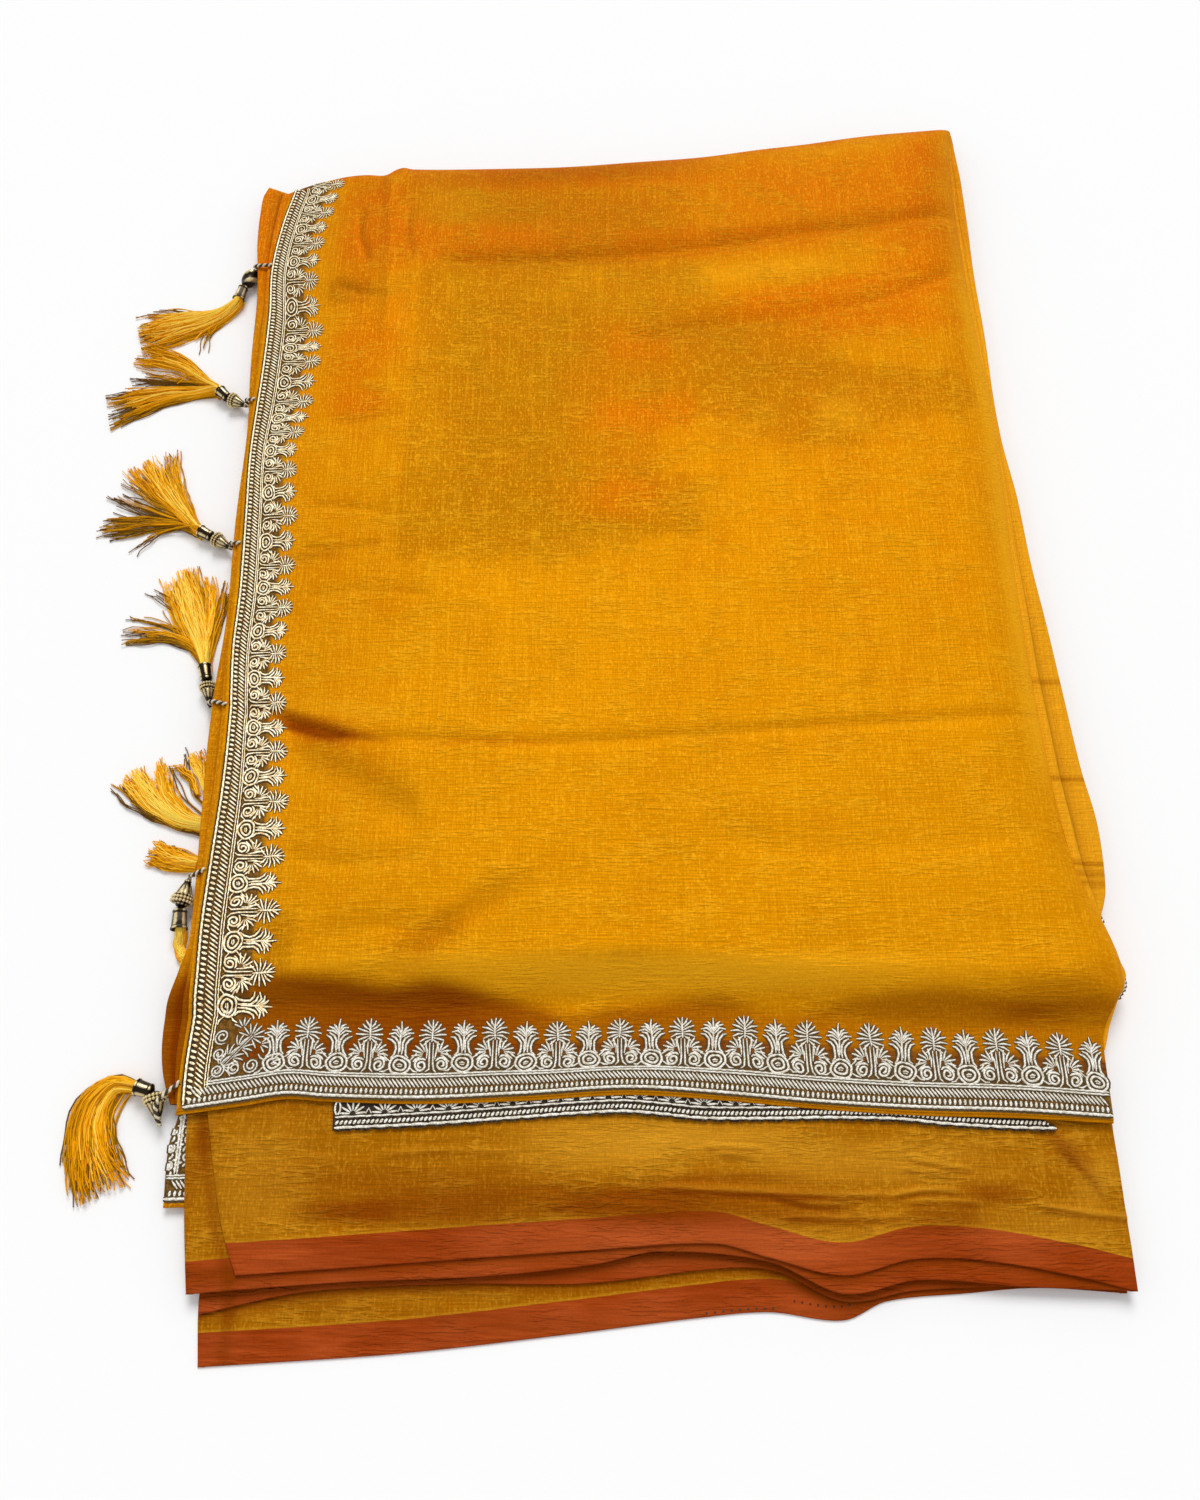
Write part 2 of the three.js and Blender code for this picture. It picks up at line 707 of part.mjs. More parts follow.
const acrossFlap = between(station(0), station(1), FLAP_CELLS);
for (const flap of FLAPS) {
  const piece = layer(flap);
  const selvedgeRows = between(station(0), station(0, SELVEDGE), 1);
  const bodyRows = between(station(0, SELVEDGE + GAP), station(1), 3);
  add(`body_edge_${flap.name}`, layerGeometry(piece, acrossFlap, bodyRows), SILK_SHADE);
  add(`selvedge_${flap.name}`, layerGeometry(piece, acrossFlap, selvedgeRows), SELVEDGE_RED);
}

const backHalf = layer(BACK_HALF);
add('end_panel_back', layerGeometry(backHalf, between(station(0), station(1), 3),
  between(station(0), station(1), 6)), SILK_SHADE);

// The embroidery of the back half, as far as the loose edges leave it open.
const secondLeft = through(FLAPS.find(({ name }) => name === 'second').left, 'y', 'x');
const backBorder = {
  edges: {
    left: (y) => backHalf.edges.left(y) + RAIL_INSET,
    right: (y) => secondLeft(y) - 2 * GAP,
    near: (x) => backHalf.edges.near(x) + RAIL_INSET,
    far: () => -241,
  },
  height: (x, y) => backHalf.height(x, y) + GAP + BAND,
};
add('end_border_back', layerGeometry(backBorder, between(station(0), station(1), 1),
  between(station(0), station(1), 5), BAND), SILVER_THREAD);

add('border_reverse', layerGeometry(layer({ ...REVERSE_STRIP, back: REVERSE_BACK }),
  between(station(0), station(1), 16), between(station(0), station(1), 1)), BLACK_BACKING);

TASSELS.forEach(({ hem, tip, neck, mouth, skirt }, index) => {
  const name = `tassel_${index + 1}`;
  const [from, waist, to] = [tip, neck, mouth].map((spot) => flatPoint(spot, BEAD_HEIGHT));
  const capLine = to.clone().sub(waist).normalize();
  const bend = capLine.angleTo(waist.clone().sub(from));
  const capFrom = waist.clone().addScaledVector(capLine, GAP + NECK_RADIUS * Math.sin(bend));
  add(`${name}_link`, linkGeometry(hem, tip, neck), ANTIQUE_GOLD);
  add(`${name}_cone`, turnedPiece(CONE, from.distanceTo(waist)), ANTIQUE_GOLD, { from, to: waist });
  add(`${name}_cap`, turnedPiece(CAP, capFrom.distanceTo(to)), ANTIQUE_GOLD, { from: capFrom, to });
  const root = [GAP, ROOT_RUN].map((run) => {
    const { x, y } = to.clone().addScaledVector(capLine, run);
    return { x, y, ...SKIRT_ROOT };
  });
  add(`${name}_skirt`, skirtGeometry([...root, ...skirt]), TASSEL_THREAD);
});
TUCKED_SKIRTS.forEach((rows, index) => {
  add(`tucked_skirt_${index + 1}`, skirtGeometry(rows), TASSEL_THREAD);
});

export default sari;
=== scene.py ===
"""A silk sari folded into a flat stack: its cloth, metal-thread embroidery and tassels.

Shapes are worked out in millimetres, and add_piece() hands them to Blender in metres.
+X runs towards the folded right side, +Y away from the loose edges of the body cloth.
"""

import math

import bpy
import numpy as np
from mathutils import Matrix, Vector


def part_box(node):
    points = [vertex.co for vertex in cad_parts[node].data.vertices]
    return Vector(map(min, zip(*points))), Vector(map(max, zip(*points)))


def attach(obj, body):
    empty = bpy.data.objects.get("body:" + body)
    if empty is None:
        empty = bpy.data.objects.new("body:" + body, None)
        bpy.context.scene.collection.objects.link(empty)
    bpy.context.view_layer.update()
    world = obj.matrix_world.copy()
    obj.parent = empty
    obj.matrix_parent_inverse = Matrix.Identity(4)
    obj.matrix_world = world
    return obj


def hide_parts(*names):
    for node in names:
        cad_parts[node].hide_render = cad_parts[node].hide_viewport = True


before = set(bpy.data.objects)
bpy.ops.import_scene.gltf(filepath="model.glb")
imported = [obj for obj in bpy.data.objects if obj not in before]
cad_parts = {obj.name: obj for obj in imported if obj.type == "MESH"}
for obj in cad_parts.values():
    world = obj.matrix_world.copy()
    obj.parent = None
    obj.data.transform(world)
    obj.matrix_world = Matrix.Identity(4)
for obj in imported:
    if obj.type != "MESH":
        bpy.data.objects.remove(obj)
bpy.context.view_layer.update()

# ---------------------------------------------------------------- driving sizes
MM = 0.001
CLOTH = 1.1  # thickness of one layer with its hem
GAP = 0.3  # air between two layers
LAYER = CLOTH + GAP
STACK_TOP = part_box("end_panel_front")[1].z / MM
HEM_TOP = 6 * LAYER + CLOTH  # top of the end panel's near hem
LEFT_DROP, LEFT_EASE = 8.5, 95  # how far each side of the stack comes down, and over what width
RIGHT_DROP, RIGHT_EASE = 9.5, 30
FAR_DROP, FAR_EASE = 8, 24
NEAR_FLAT, NEAR_EASE = 36, 62  # the flat strip along the near hem, and the slope behind it
FLAP_BACK = -222.3  # where the loose edges go into the stack
SELVEDGE = 12.5  # width of the red woven edge
REPEAT = 27.4  # one repeat of the embroidery

# depths into the border from the middle of its outer rail
PEARLS = (1.1, 3.3)
TWILL = (4.0, 7.4)
INNER_RAILS = (8.3, 9.4)
GROUND_DEPTH = 22.5  # the cloth is coloured dark brown in the border as far as this
STITCH = 0.55  # how high an ordinary couched thread stands
RAIL_STEP = 1.4  # distance between the points of a border's long rails


# ---------------------------------------------------------------- lines and surfaces
def mix(a, b, share):
    return a + (b - a) * share


def ease(share):
    share = np.clip(share, 0, 1)
    return share * share * (3 - 2 * share)


def through(*points):
    """A smooth line through (at, value) points, level past its two ends."""
    at, value = np.array(points, float).T
    slope = np.empty_like(at)
    slope[1:-1] = (value[2:] - value[:-2]) / (at[2:] - at[:-2])
    slope[0] = (value[1] - value[0]) / (at[1] - at[0])
    slope[-1] = (value[-1] - value[-2]) / (at[-1] - at[-2])

    def line(where):
        where = np.clip(where, at[0], at[-1])
        i = np.clip(np.searchsorted(at, where), 1, len(at) - 1)
        span = at[i] - at[i - 1]
        t = (where - at[i - 1]) / span
        bend = (1 - t) * slope[i - 1] - t * slope[i]
        return mix(value[i - 1], value[i], ease(t)) + span * t * (1 - t) * bend

    return line


def lengths(line):
    """How far along a line each of its points is."""
    return np.concatenate([[0], np.cumsum(np.linalg.norm(np.diff(line, axis=0), axis=1))])


def unit(vectors):
    return vectors / (np.linalg.norm(vectors, axis=-1, keepdims=True) + 1e-9)


def directions(paths):
    """Unit directions along, beside and above paths that mostly lie flat."""
    along = unit(np.gradient(paths, axis=-2))
    beside = unit(np.cross(along, (0.0, 0.0, 1.0)))
    return along, beside, np.cross(beside, along)


def drift(x, y, seed, wavelength):
    """Slow uneven waves between about -1 and 1."""
    pick = np.random.default_rng(seed)
    total = 0
    for _ in range(5):
        heading, phase = pick.uniform(0, math.pi), pick.uniform(0, 2 * math.pi)
        length = wavelength * pick.uniform(0.7, 1.5)
        travel = x * math.cos(heading) + y * math.sin(heading)
        total = total + np.sin(travel * 2 * math.pi / length + phase)
    return total / 3


class Outline:
    """A piece seen from above, from points along its sides.

    Those of left and right give x at a y, those of near and far y at an x.
    """

    def __init__(self, left, right, near, far):
        sides = (left, right, near, far)
        self.left, self.right, self.near, self.far = (through(*side) for side in sides)

    def place(self, across, along):
        """Plan points of a grid over the piece, from stations of (share of the way, inset)."""
        share_x, inset_x = np.array(across, float).T
        share_y, inset_y = np.array(along, float).T[:, :, None]
        x = np.zeros((len(along), len(across)))
        y = x
        for _ in range(5):
            y = mix(self.near(x), self.far(x), share_y) + inset_y
            x = mix(self.left(y), self.right(y), share_x) + inset_x
        return x, y

    def covered(self, across, along, height, **margins):
        """Grid points over the piece at a height, with rolled edges, and their plan."""
        x, y = self.place(across, along)
        return carried_on(x, y, height(x, y), **margins)


def spread(start, end, count):
    """Even stations from one (share, inset) to another."""
    steps = np.linspace(0, 1, count + 1)
    return [(mix(start[0], end[0], t), mix(start[1], end[1], t)) for t in steps]


def carried_on(x, y, z, near=(), far=(), left=(), right=()):
    """Grid points carried on past the grid's edges, by (out, down) steps on each side."""
    rows = [(-out, down) for out, down in reversed(near)] + [(0, 0)] * x.shape[0] + list(far)
    columns = [(-out, down) for out, down in reversed(left)] + [(0, 0)] * x.shape[1] + list(right)
    margins = ((len(near), len(far)), (len(left), len(right)))
    x, y, z = (np.pad(values, margins, mode="edge") for values in (x, y, z))
    out_y, down_y = np.array(rows).T[:, :, None]
    out_x, down_x = np.array(columns).T
    return np.stack([x + out_x, y + out_y, z - np.maximum(down_y, down_x)], axis=-1), x, y


HEM = 0.5  # radius of a hem's or fold's edge
HEM_ROLL = [(0.35, 0.15), (HEM, 0.55), (0.3, 0.95), (-2.5, CLOTH)]
DOUBLE_HEM = [(0.4, 0.1), (0.45, 0.3), (0.1, 0.5), (0.9, 0.55), (1.6, 0.7), (1.75, 0.9),
              (1.2, CLOTH), (-2.5, 1.2)]
FOLD_ROLL = [(0.0, 0.5), (-0.4, 1.0), (-3.0, 1.3)]


def trough(along, across, line, depth, widths, fade=25):
    """Depth of a soft trough that follows a line, is steeper on one side and fades out."""
    start, end = line[0][0], line[-1][0]
    off = across - through(*line)(along)
    width = np.where(off < 0, widths[0], widths[1])
    ends = ease((along - start) / fade) * ease((end - along) / fade)
    return depth * ends * np.exp(-((off / width) ** 2))


def patch(x, y, at_x, at_y, reach_x, reach_y, strength, turn=0.0):
    """A soft patch with rounded corners, at its full strength in the middle and 0 far out."""
    turn = math.radians(turn)
    dx, dy = x - at_x, y - at_y
    u = (dx * math.cos(turn) + dy * math.sin(turn)) / reach_x
    v = (dy * math.cos(turn) - dx * math.sin(turn)) / reach_y
    return strength * np.exp(-((u**4 + v**4) ** 0.75))


def summed(x, y, patches):
    return np.clip(sum(patch(x, y, *row) for row in patches), 0, 1)


# ---------------------------------------------------------------- outlines of the pieces
PANEL = Outline(
    left=[(-247, -196.5), (-229, -197.4), (-199, -197), (-167, -198.3), (-133, -198.2), (-98, -198),
          (-60, -199.4), (-21, -203), (14, -203.6), (65, -206.8), (106, -208.8), (162, -209.4),
          (200, -210), (240, -211.4), (273, -209.8), (302, -207.4)],
    right=[(-251, 203.8), (-218, 205.4), (-211, 208), (-200, 214.5), (-195, 218), (-188, 218),
           (-180, 217.5), (-164, 213), (-153, 209), (-139, 205), (-100, 201.5), (-50, 200.5), (20, 201),
           (70, 202.5), (120, 204), (229, 202), (322, 204), (359, 209)],
    near=[(-197, -248.6), (-168, -244.6), (-150, -241.8), (-133, -242.8), (-92, -243.9), (-50, -242.7),
          (-4, -240.1), (40, -242.6), (80, -246), (120, -248.6), (164, -249.8), (205, -252)],
    far=[(-214, 297), (-206, 303), (-196, 308), (-186, 311), (-172, 314), (-160, 314.5), (-146, 313.5),
         (-141, 318), (-137, 320), (-131, 318.5), (-100, 318.5), (-40, 321), (47, 330), (98, 339),
         (162, 350), (209, 356)],
)

# Where the border's outer rail runs, and how far the cloth's tilt narrows or widens the border.
NEAR_RAIL = through(
    (-194, -246.6), (-168, -242.8), (-150, -240.3), (-133, -241.4), (-92, -242.3), (-50, -240.5),
    (-4, -237.8), (40, -240.4), (80, -243.8), (120, -246.2), (164, -247.5), (205, -250.2),
)
NEAR_DEPTH = through(
    (-150, 1.0), (-65, 1.0), (-31, 0.9), (-5, 0.88), (20, 0.95), (54, 1.03), (130, 1.05), (200, 1.03),
)
END_RAIL = through(
    (-247, -193.6), (-229, -194.5), (-199, -194), (-167, -195.4), (-133, -195.2), (-98, -195),
    (-60, -196.4), (-21, -200), (14, -200.6), (65, -204), (106, -206.2), (162, -206.2), (200, -207.2),
    (236, -210), (273, -207.8), (302, -203.5),
)
END_DEPTH = through(
    (-247, 1.02), (-161, 1.09), (-106, 1.0), (-53, 0.84), (0, 0.87), (60, 0.85), (100, 0.82),
    (136, 0.97), (190, 1.0), (220, 0.88), (300, 0.93),
)
# y of each flower along the end border, on the left, which the cloth's waves bunch and spread.
END_FLOWERS = (-217, -189.4, -160.9, -134.9, -107.2, -80.8, -54.4, -26.4, 0.2, 25.6, 57.4, 87.4, 113,
               134.5, 163, 186.2, 226, 255.8, 281.8, 306, 330)
END_PLACES = through(*enumerate(END_FLOWERS, -1))
STACK_LEFT = through(
    (-248, -198.5), (-240, -202), (-230, -205.5), (-218, -207.5), (-204, -207.5), (-188, -204),
    (-172, -201), (-103, -205), (-3, -208), (73, -210), (160, -214), (202, -217), (271, -223),
    (302, -224),
)
STACK_RIGHT = through(
    (-222, 206), (-200, 215), (-190, 220.5), (-184, 219.5), (-176, 215), (-163, 214), (-157, 216),
    (-150, 218), (-130, 219.5), (-112, 219.5), (-88, 217), (-44, 215), (9, 213), (66, 210),
    (113, 207.5), (359, 210),
)


def straight(at):
    """A side that runs straight across."""
    return (0, at), (1, at)


# The loose edges of the body cloth, from the lowest up: level in the stack, and outline.
LOOSE_EDGES = {
    "lowest": (0, Outline(
        left=[(-346, -176), (-321, -179), (-222, -182)],
        right=[(-319, 201), (-222, 203)],
        near=[(-176, -346), (-95, -341), (-27, -334), (26, -328), (54, -326), (84, -329), (102, -322),
              (135, -319), (165, -317), (201, -319)],
        far=straight(FLAP_BACK),
    )),
    "third": (1, Outline(
        left=[(-327, -178), (-222, -184)],
        right=[(-318, 202), (-222, 203)],
        near=[(-178, -327), (-135, -318.5), (-71, -315.5), (-22, -315.5), (36, -309.7), (58, -311),
              (84, -322), (114, -318), (159, -316.5), (202, -318)],
        far=straight(FLAP_BACK),
    )),
    "second": (3, Outline(
        left=[(-319, -183), (-283, -189), (-248, -193), (-222, -194)],
        right=[(-318, 203), (-278, 204), (-222, 204)],
        near=[(-183, -319.5), (-124, -315.2), (-60, -312.6), (-17, -308.3), (9, -303.5), (54, -307.3),
              (84, -319.3), (115, -314.1), (157, -316.5), (203, -318.3)],
        far=straight(FLAP_BACK),
    )),
    "upper": (4, Outline(
        left=[(-313, -163), (-295, -171), (-268, -179), (-222, -190)],
        right=[(-318, 203), (-278, 204), (-222, 205)],
        near=[(-163, -312.5), (-124, -310), (-81, -307), (-22, -303.2), (32, -300.5), (54, -305.8),
              (84, -312.5), (114, -306.4), (144, -307.1), (181, -313.3), (203, -318.5)],
        far=straight(FLAP_BACK),
    )),
}
BACK_CORNER_LEVEL, REVERSE_LEVEL = 2, 5  # how many layers lie under each
BACK_CORNER = Outline(
    left=[(-287, -198), (-262, -199.5), (-246, -197), (-222, -202)],
    right=straight(-150),
    near=[(-199, -286.5), (-150, -285.5)],
    far=straight(-222),
)
REVERSE_STRIP = Outline(
    left=[(-256, -129), (-236, -130)],
    right=[(-258, 181), (-254, 178), (-250, 172), (-236, 168)],
    near=[(-129, -255.6), (-88, -253.8), (-49, -251.1), (-24, -249.3), (-4, -248.6), (12, -249.8),
          (28, -251.4), (54, -251.6), (80, -251.2), (106, -251.5), (119, -252.3), (132, -253.7),
          (158, -255.2), (183, -255.8)],
    far=straight(-236),
)


# ---------------------------------------------------------------- surfaces
def eased_drop(drop, distance, width):
    return drop * (1 - ease(distance / width))


def rolled_drop(drop, distance, width):
    return drop * (1 - np.sqrt(1 - (1 - np.clip(distance / width, 0, 1)) ** 2))


# Troughs pressed into the end panel: line, depth, widths on its near and far sides, fade, and how
# much painted shade its far wall gets. Those that run across list y at each x, those that run down x at
# each y.
TROUGHS_ACROSS = [
    ([(-150, -75), (-107, -77.5), (-60, -80), (-20, -79), (60, -73), (207, -63)], 0.8, (2.5, 4), 30, 0.16),
    ([(-205, -54), (-176, -60), (-158, -65.5), (-143, -70.5), (-128, -75)], 3.2, (6, 2.2), 18, 0.0),
    ([(-170, -78), (-154, -84), (-139, -93), (-124, -102), (-109, -111), (-94, -122)], 1.6, (13, 10),
     14, 0.2),
    ([(-120, 231), (-88, 232.7), (-42, 233.7), (4, 238), (43, 243), (106, 255.5), (161, 264.7),
      (210, 276)], 1.8, (2.2, 10), 30, 0.24),
    ([(-14, 171), (26, 177), (63, 184.4), (117, 194.3), (160, 209), (206, 232)], 1.3, (2.0, 9), 30, 0.1),
    ([(-172, 222), (-160, 214), (-146, 209), (-132, 206)], 1.0, (1.4, 4), 10, 0.14),
    ([(-170, 119), (-150, 116), (-118, 121)], 0.8, (2, 6), 14, 0.1),
    ([(-178, 36), (-160, 34), (-140, 34), (-124, 36)], 1.0, (1.0, 3), 12, 0.2),
    ([(-174, 62), (-150, 60), (-122, 53)], 0.7, (1.6, 5), 12, 0.12),
    ([(-172, 4), (-140, 7), (-96, 2)], 0.5, (2, 5), 14, 0.1),
    ([(-166, -133), (-136, -140), (-90, -137)], 0.6, (3, 6), 14, 0.12),
    ([(-60, 33), (-10, 41), (52, 38)], 0.5, (3, 9), 20, 0.0),
    ([(-150, -176), (-110, -170), (-70, -176)], 0.6, (3, 8), 14, 0.12),
    ([(30, -128), (110, -134), (196, -126)], 0.5, (4, 12), 20, 0.06),
]
TROUGHS_DOWN = [
    ([(170, -137), (214, -139), (261, -141), (330, -146)], -1.0, (3, 5), 20, 0.0),
    ([(232, -152), (246, -155.5), (262, -160), (284, -160)], 1.2, (1.2, 3), 10, 0.2),
    ([(236, -126), (262, -131), (284, -128)], 0.6, (2, 3), 10, 0.12),
    ([(-196, -110), (-182, -100), (-169, -87), (-158, -69), (-140, -58)], 1.8, (7, 10), 16, 0.26),
    ([(-70, 78), (0, 70), (70, 74)], 0.4, (10, 12), 30, 0.0),
]


def troughs(x, y):
    """Depth pressed into the end panel, and the painted shade on the troughs' far walls."""
    drop, shade = 0, 0
    for along, across, rows in ((x, y, TROUGHS_ACROSS), (y, x, TROUGHS_DOWN)):
        for line, depth, widths, fade, wall_shade in rows:
            drop = drop + trough(along, across, line, depth, widths, fade)
            shade = shade + trough(along, across - widths[1] * 0.4, line, wall_shade, widths, fade)
    inside = ease((x - END_RAIL(y) - 12) / 18)
    return drop * mix(0.4, 1, inside), shade * mix(0.5, 1, inside)


def panel_height(x, y):
    """Top of the end panel's front half, with its creases."""
    near = eased_drop(STACK_TOP - HEM_TOP, y - PANEL.near(x) - NEAR_FLAT, NEAR_EASE - NEAR_FLAT)
    left = eased_drop(LEFT_DROP, x - PANEL.left(y), LEFT_EASE)
    right = rolled_drop(RIGHT_DROP, PANEL.right(y) - x, RIGHT_EASE)
    far = rolled_drop(FAR_DROP, PANEL.far(x) - y, FAR_EASE)
    drop = (near**4 + left**4 + right**4 + far**4) ** 0.25
    drop = drop + troughs(x, y)[0]
    calm = ease((y - PANEL.near(x) - 12) / 40)
    waves = 0.35 * drift(x, y, 3, 60) + 0.5 * drift(x, y, 4, 170)
    near_waves = 0.5 * (1 + np.sin(x / 21 + 1.2 * np.sin(x / 47)))
    return np.maximum(HEM_TOP, STACK_TOP - 0.4 - drop + calm * waves) + (1 - calm) * near_waves


HEM_LIFT = 1.4  # how far the uppermost loose edge stands up at its hem
LIFT_START, LIFT_EASE = -262, 40  # y where the rise begins, and over what distance it comes
# Ridges in the loose edges: line of y at each x, height, widths, fade.
LOOSE_RIDGES = [
    ([(27, -262), (41, -262.5), (55, -263)], 0.6, (0.8, 1.3), 6),
    ([(32, -265), (42, -265.3), (53, -266)], 0.5, (0.8, 1.1), 5),
    ([(4, -278.5), (34, -280), (56, -281), (93, -282), (109, -281)], 1.0, (0.9, 1.6), 12),
    ([(54, -281), (72, -285), (92, -285.5)], 0.9, (0.9, 1.6), 8),
    ([(102, -283), (121, -280), (139, -281)], 1.0, (0.9, 1.6), 8),
    ([(111, -284.5), (129, -284), (147, -285.5)], 0.8, (0.8, 1.3), 8),
    ([(110, -265.5), (130, -270), (145, -272)], 0.7, (0.8, 1.3), 8),
    ([(110, -271), (122, -272), (134, -273.5)], 0.6, (0.8, 1.2), 6),
    ([(163, -285), (187, -289), (209, -291)], 0.9, (0.9, 1.8), 8),
    ([(176, -259), (188, -270), (199, -285)], 1.1, (2.4, 4.5), 7),
    ([(-40, -286), (-10, -285), (14, -287)], 0.5, (0.9, 1.5), 8),
    ([(-112, -266), (-80, -264), (-48, -265)], 0.4, (0.9, 1.8), 10),
    ([(58, -290), (90, -291), (114, -290)], 0.6, (0.8, 1.4), 8),
]


def loose_ridges(x, y, shift=0.0, share=1.0):
    """Height of the ridges in the upper loose edge, moved over by shift and widened or narrowed."""
    return sum(trough(x, y + shift, line, high, (widths[0] * share, widths[1] * share), fade)
               for line, high, widths, fade in LOOSE_RIDGES)


def loose_height(level):
    """Top of one loose edge: it stands up in slow waves, the higher its layer the more."""
    def height(x, y):
        rise = ease((LIFT_START - y) / LIFT_EASE)
        lift = HEM_LIFT * (level / 4) * rise * (0.6 + 0.4 * np.sin(x / 38))
        ridges = loose_ridges(x, y)
        calm = ease((-226 - y) / 14)
        waves = 0.25 * (1 + drift(x, y * 2.2, 11, 70)) * calm
        waves = waves + 0.12 * drift(x, y * 5, 12 + level, 42) * calm
        return level * LAYER + CLOTH + lift + (ridges + waves) * level / 4

    return height


def back_corner_height(x, y):
    return BACK_CORNER_LEVEL * LAYER + CLOTH + 0.15 * np.sin(y / 6.0)


def reverse_height(x, y):
    return REVERSE_LEVEL * LAYER + CLOTH + 0.2 * np.sin(x / 17.0)


# ---------------------------------------------------------------- making pieces
def shown(name, data):
    """A new object in the scene."""
    made = bpy.data.objects.new(name, data)
    bpy.context.scene.collection.objects.link(made)
    return made


def meshed(name, points, faces, finish):
    """A smooth mesh from points in millimetres."""
    mesh = bpy.data.meshes.new(name)
    mesh.from_pydata((np.reshape(points, (-1, 3)) * MM).tolist(), [], np.asarray(faces).tolist())
    mesh.shade_smooth()
    mesh.materials.append(finish)
    return shown(name, mesh)


def add_piece(name, points, faces, finish, marks=None, replaced=()):
    """One piece of the part, with named values at each point."""
    piece = meshed(name, points, faces, finish)
    for mark, values in (marks or {}).items():
        layer = piece.data.attributes.new(mark, "FLOAT", "POINT")
        layer.data.foreach_set("value", np.ravel(values).astype(np.float32))
    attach(piece, "root")
    if replaced:
        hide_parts(*replaced)
    return piece


def add_cloth(name, points, finish, marks, replaced):
    """One sheet of cloth from a grid of points."""
    piece = add_piece(name, points, grid_faces(points.shape[:2]), finish, marks, replaced)


def grid_faces(shape, closed=False, start=0):
    """Faces over a grid of points, joined round in columns if it is closed."""
    index = np.arange(shape[0] * shape[1]).reshape(shape) + start
    if closed:
        index = np.hstack([index, index[:, :1]])
    corners = [index[:-1, :-1], index[:-1, 1:], index[1:, 1:], index[1:, :-1]]
    return np.stack(corners, axis=-1).reshape(-1, 4)


class Needlework:
    """Laid threads, drawn in plan and then raised from the cloth as one mesh."""

    # Across a thread, in half widths: the dark strip at its foot, its sides and its crown.
    SECTION = np.array([(-2.7, 0.0), (-1.15, 0.08), (-0.8, 0.7), (0.0, 1.0), (0.8, 0.7),
                        (1.15, 0.08), (2.7, 0.0)])
    CLEAR = 0.15  # height of the thread's foot over the cloth

    def __init__(self):
        self.threads = []
        self.count = 0

    def lay(self, line, width, rise=STITCH, taper=0.0):
        """One thread along a line of (x, y) points, thinner at its ends and more so at its start."""
        line = np.asarray(line, float)
        run = lengths(line)
        normal = unit(np.gradient(line, axis=0))[:, ::-1] * (-1, 1)
        ends = np.clip(np.minimum(run, run[-1] - run) / width + 0.5, 0, 1)
        ends *= 1 - taper * (1 - run / run[-1])
        aside, up = self.SECTION.T
        offsets = aside * width / 2 * ends[:, None]
        plan = (line[:, None] + normal[:, None] * offsets[..., None]).reshape(-1, 2)
        height = (up * rise * ends[:, None]).ravel()
        run = np.repeat(run + self.count * 0.37, len(up))
        faces = grid_faces(offsets.shape, start=self.count)[:, ::-1]
        self.threads.append((plan, height, run, np.tile(aside, len(line)), faces))
        self.count += offsets.size

    def lay_inside(self, plan, inside, width, rise=STITCH, taper=0.0):
        """The part of a thread for which inside(plan) holds, if there is any."""
        plan = plan[inside(plan)]
        if len(plan) > 1:
            self.lay(plan, width, rise, taper)

    def raised(self, name, surface, finish, slot, replaced=()):
        """The needlework as one piece on a surface, a function of x and y."""
        plan, height, run, side, faces = (np.concatenate(part) for part in zip(*self.threads))
        points = np.column_stack([plan, surface(*plan.T) + self.CLEAR + height])
        add_piece(name, points, faces, finish, {"run": run, "side": side}, replaced)


# ---------------------------------------------------------------- finishes
def operation(kind, swapped=False):
    """A maths node as a method; swapped, the other number comes first."""
    def method(self, *others):
        values = (*others, self) if swapped else (self, *others)
        return self.finish.node("Math", {"operation": kind}, dict(enumerate(values)))

    return method


class Value:
    """A number that changes over a surface; sums of such numbers are written as in Python."""

    def __init__(self, finish, socket):
        self.finish, self.socket = finish, socket

    __add__ = __radd__ = operation("ADD")
    __mul__ = __rmul__ = operation("MULTIPLY")
    __sub__ = operation("SUBTRACT")
    __rsub__ = operation("SUBTRACT", swapped=True)
    wave = operation("SINE")
    size = operation("ABSOLUTE")

    def over(self, low, high):
        """0 below low, 1 above high, and a straight rise between."""
        return self.finish.node("MapRange", {"clamp": True}, {0: self, 1: low, 2: high})

    def near(self, value, times):
        """1 at a value, falling to 0 beside it, the faster the higher times is."""
        return 1 - (self - value).size() * times


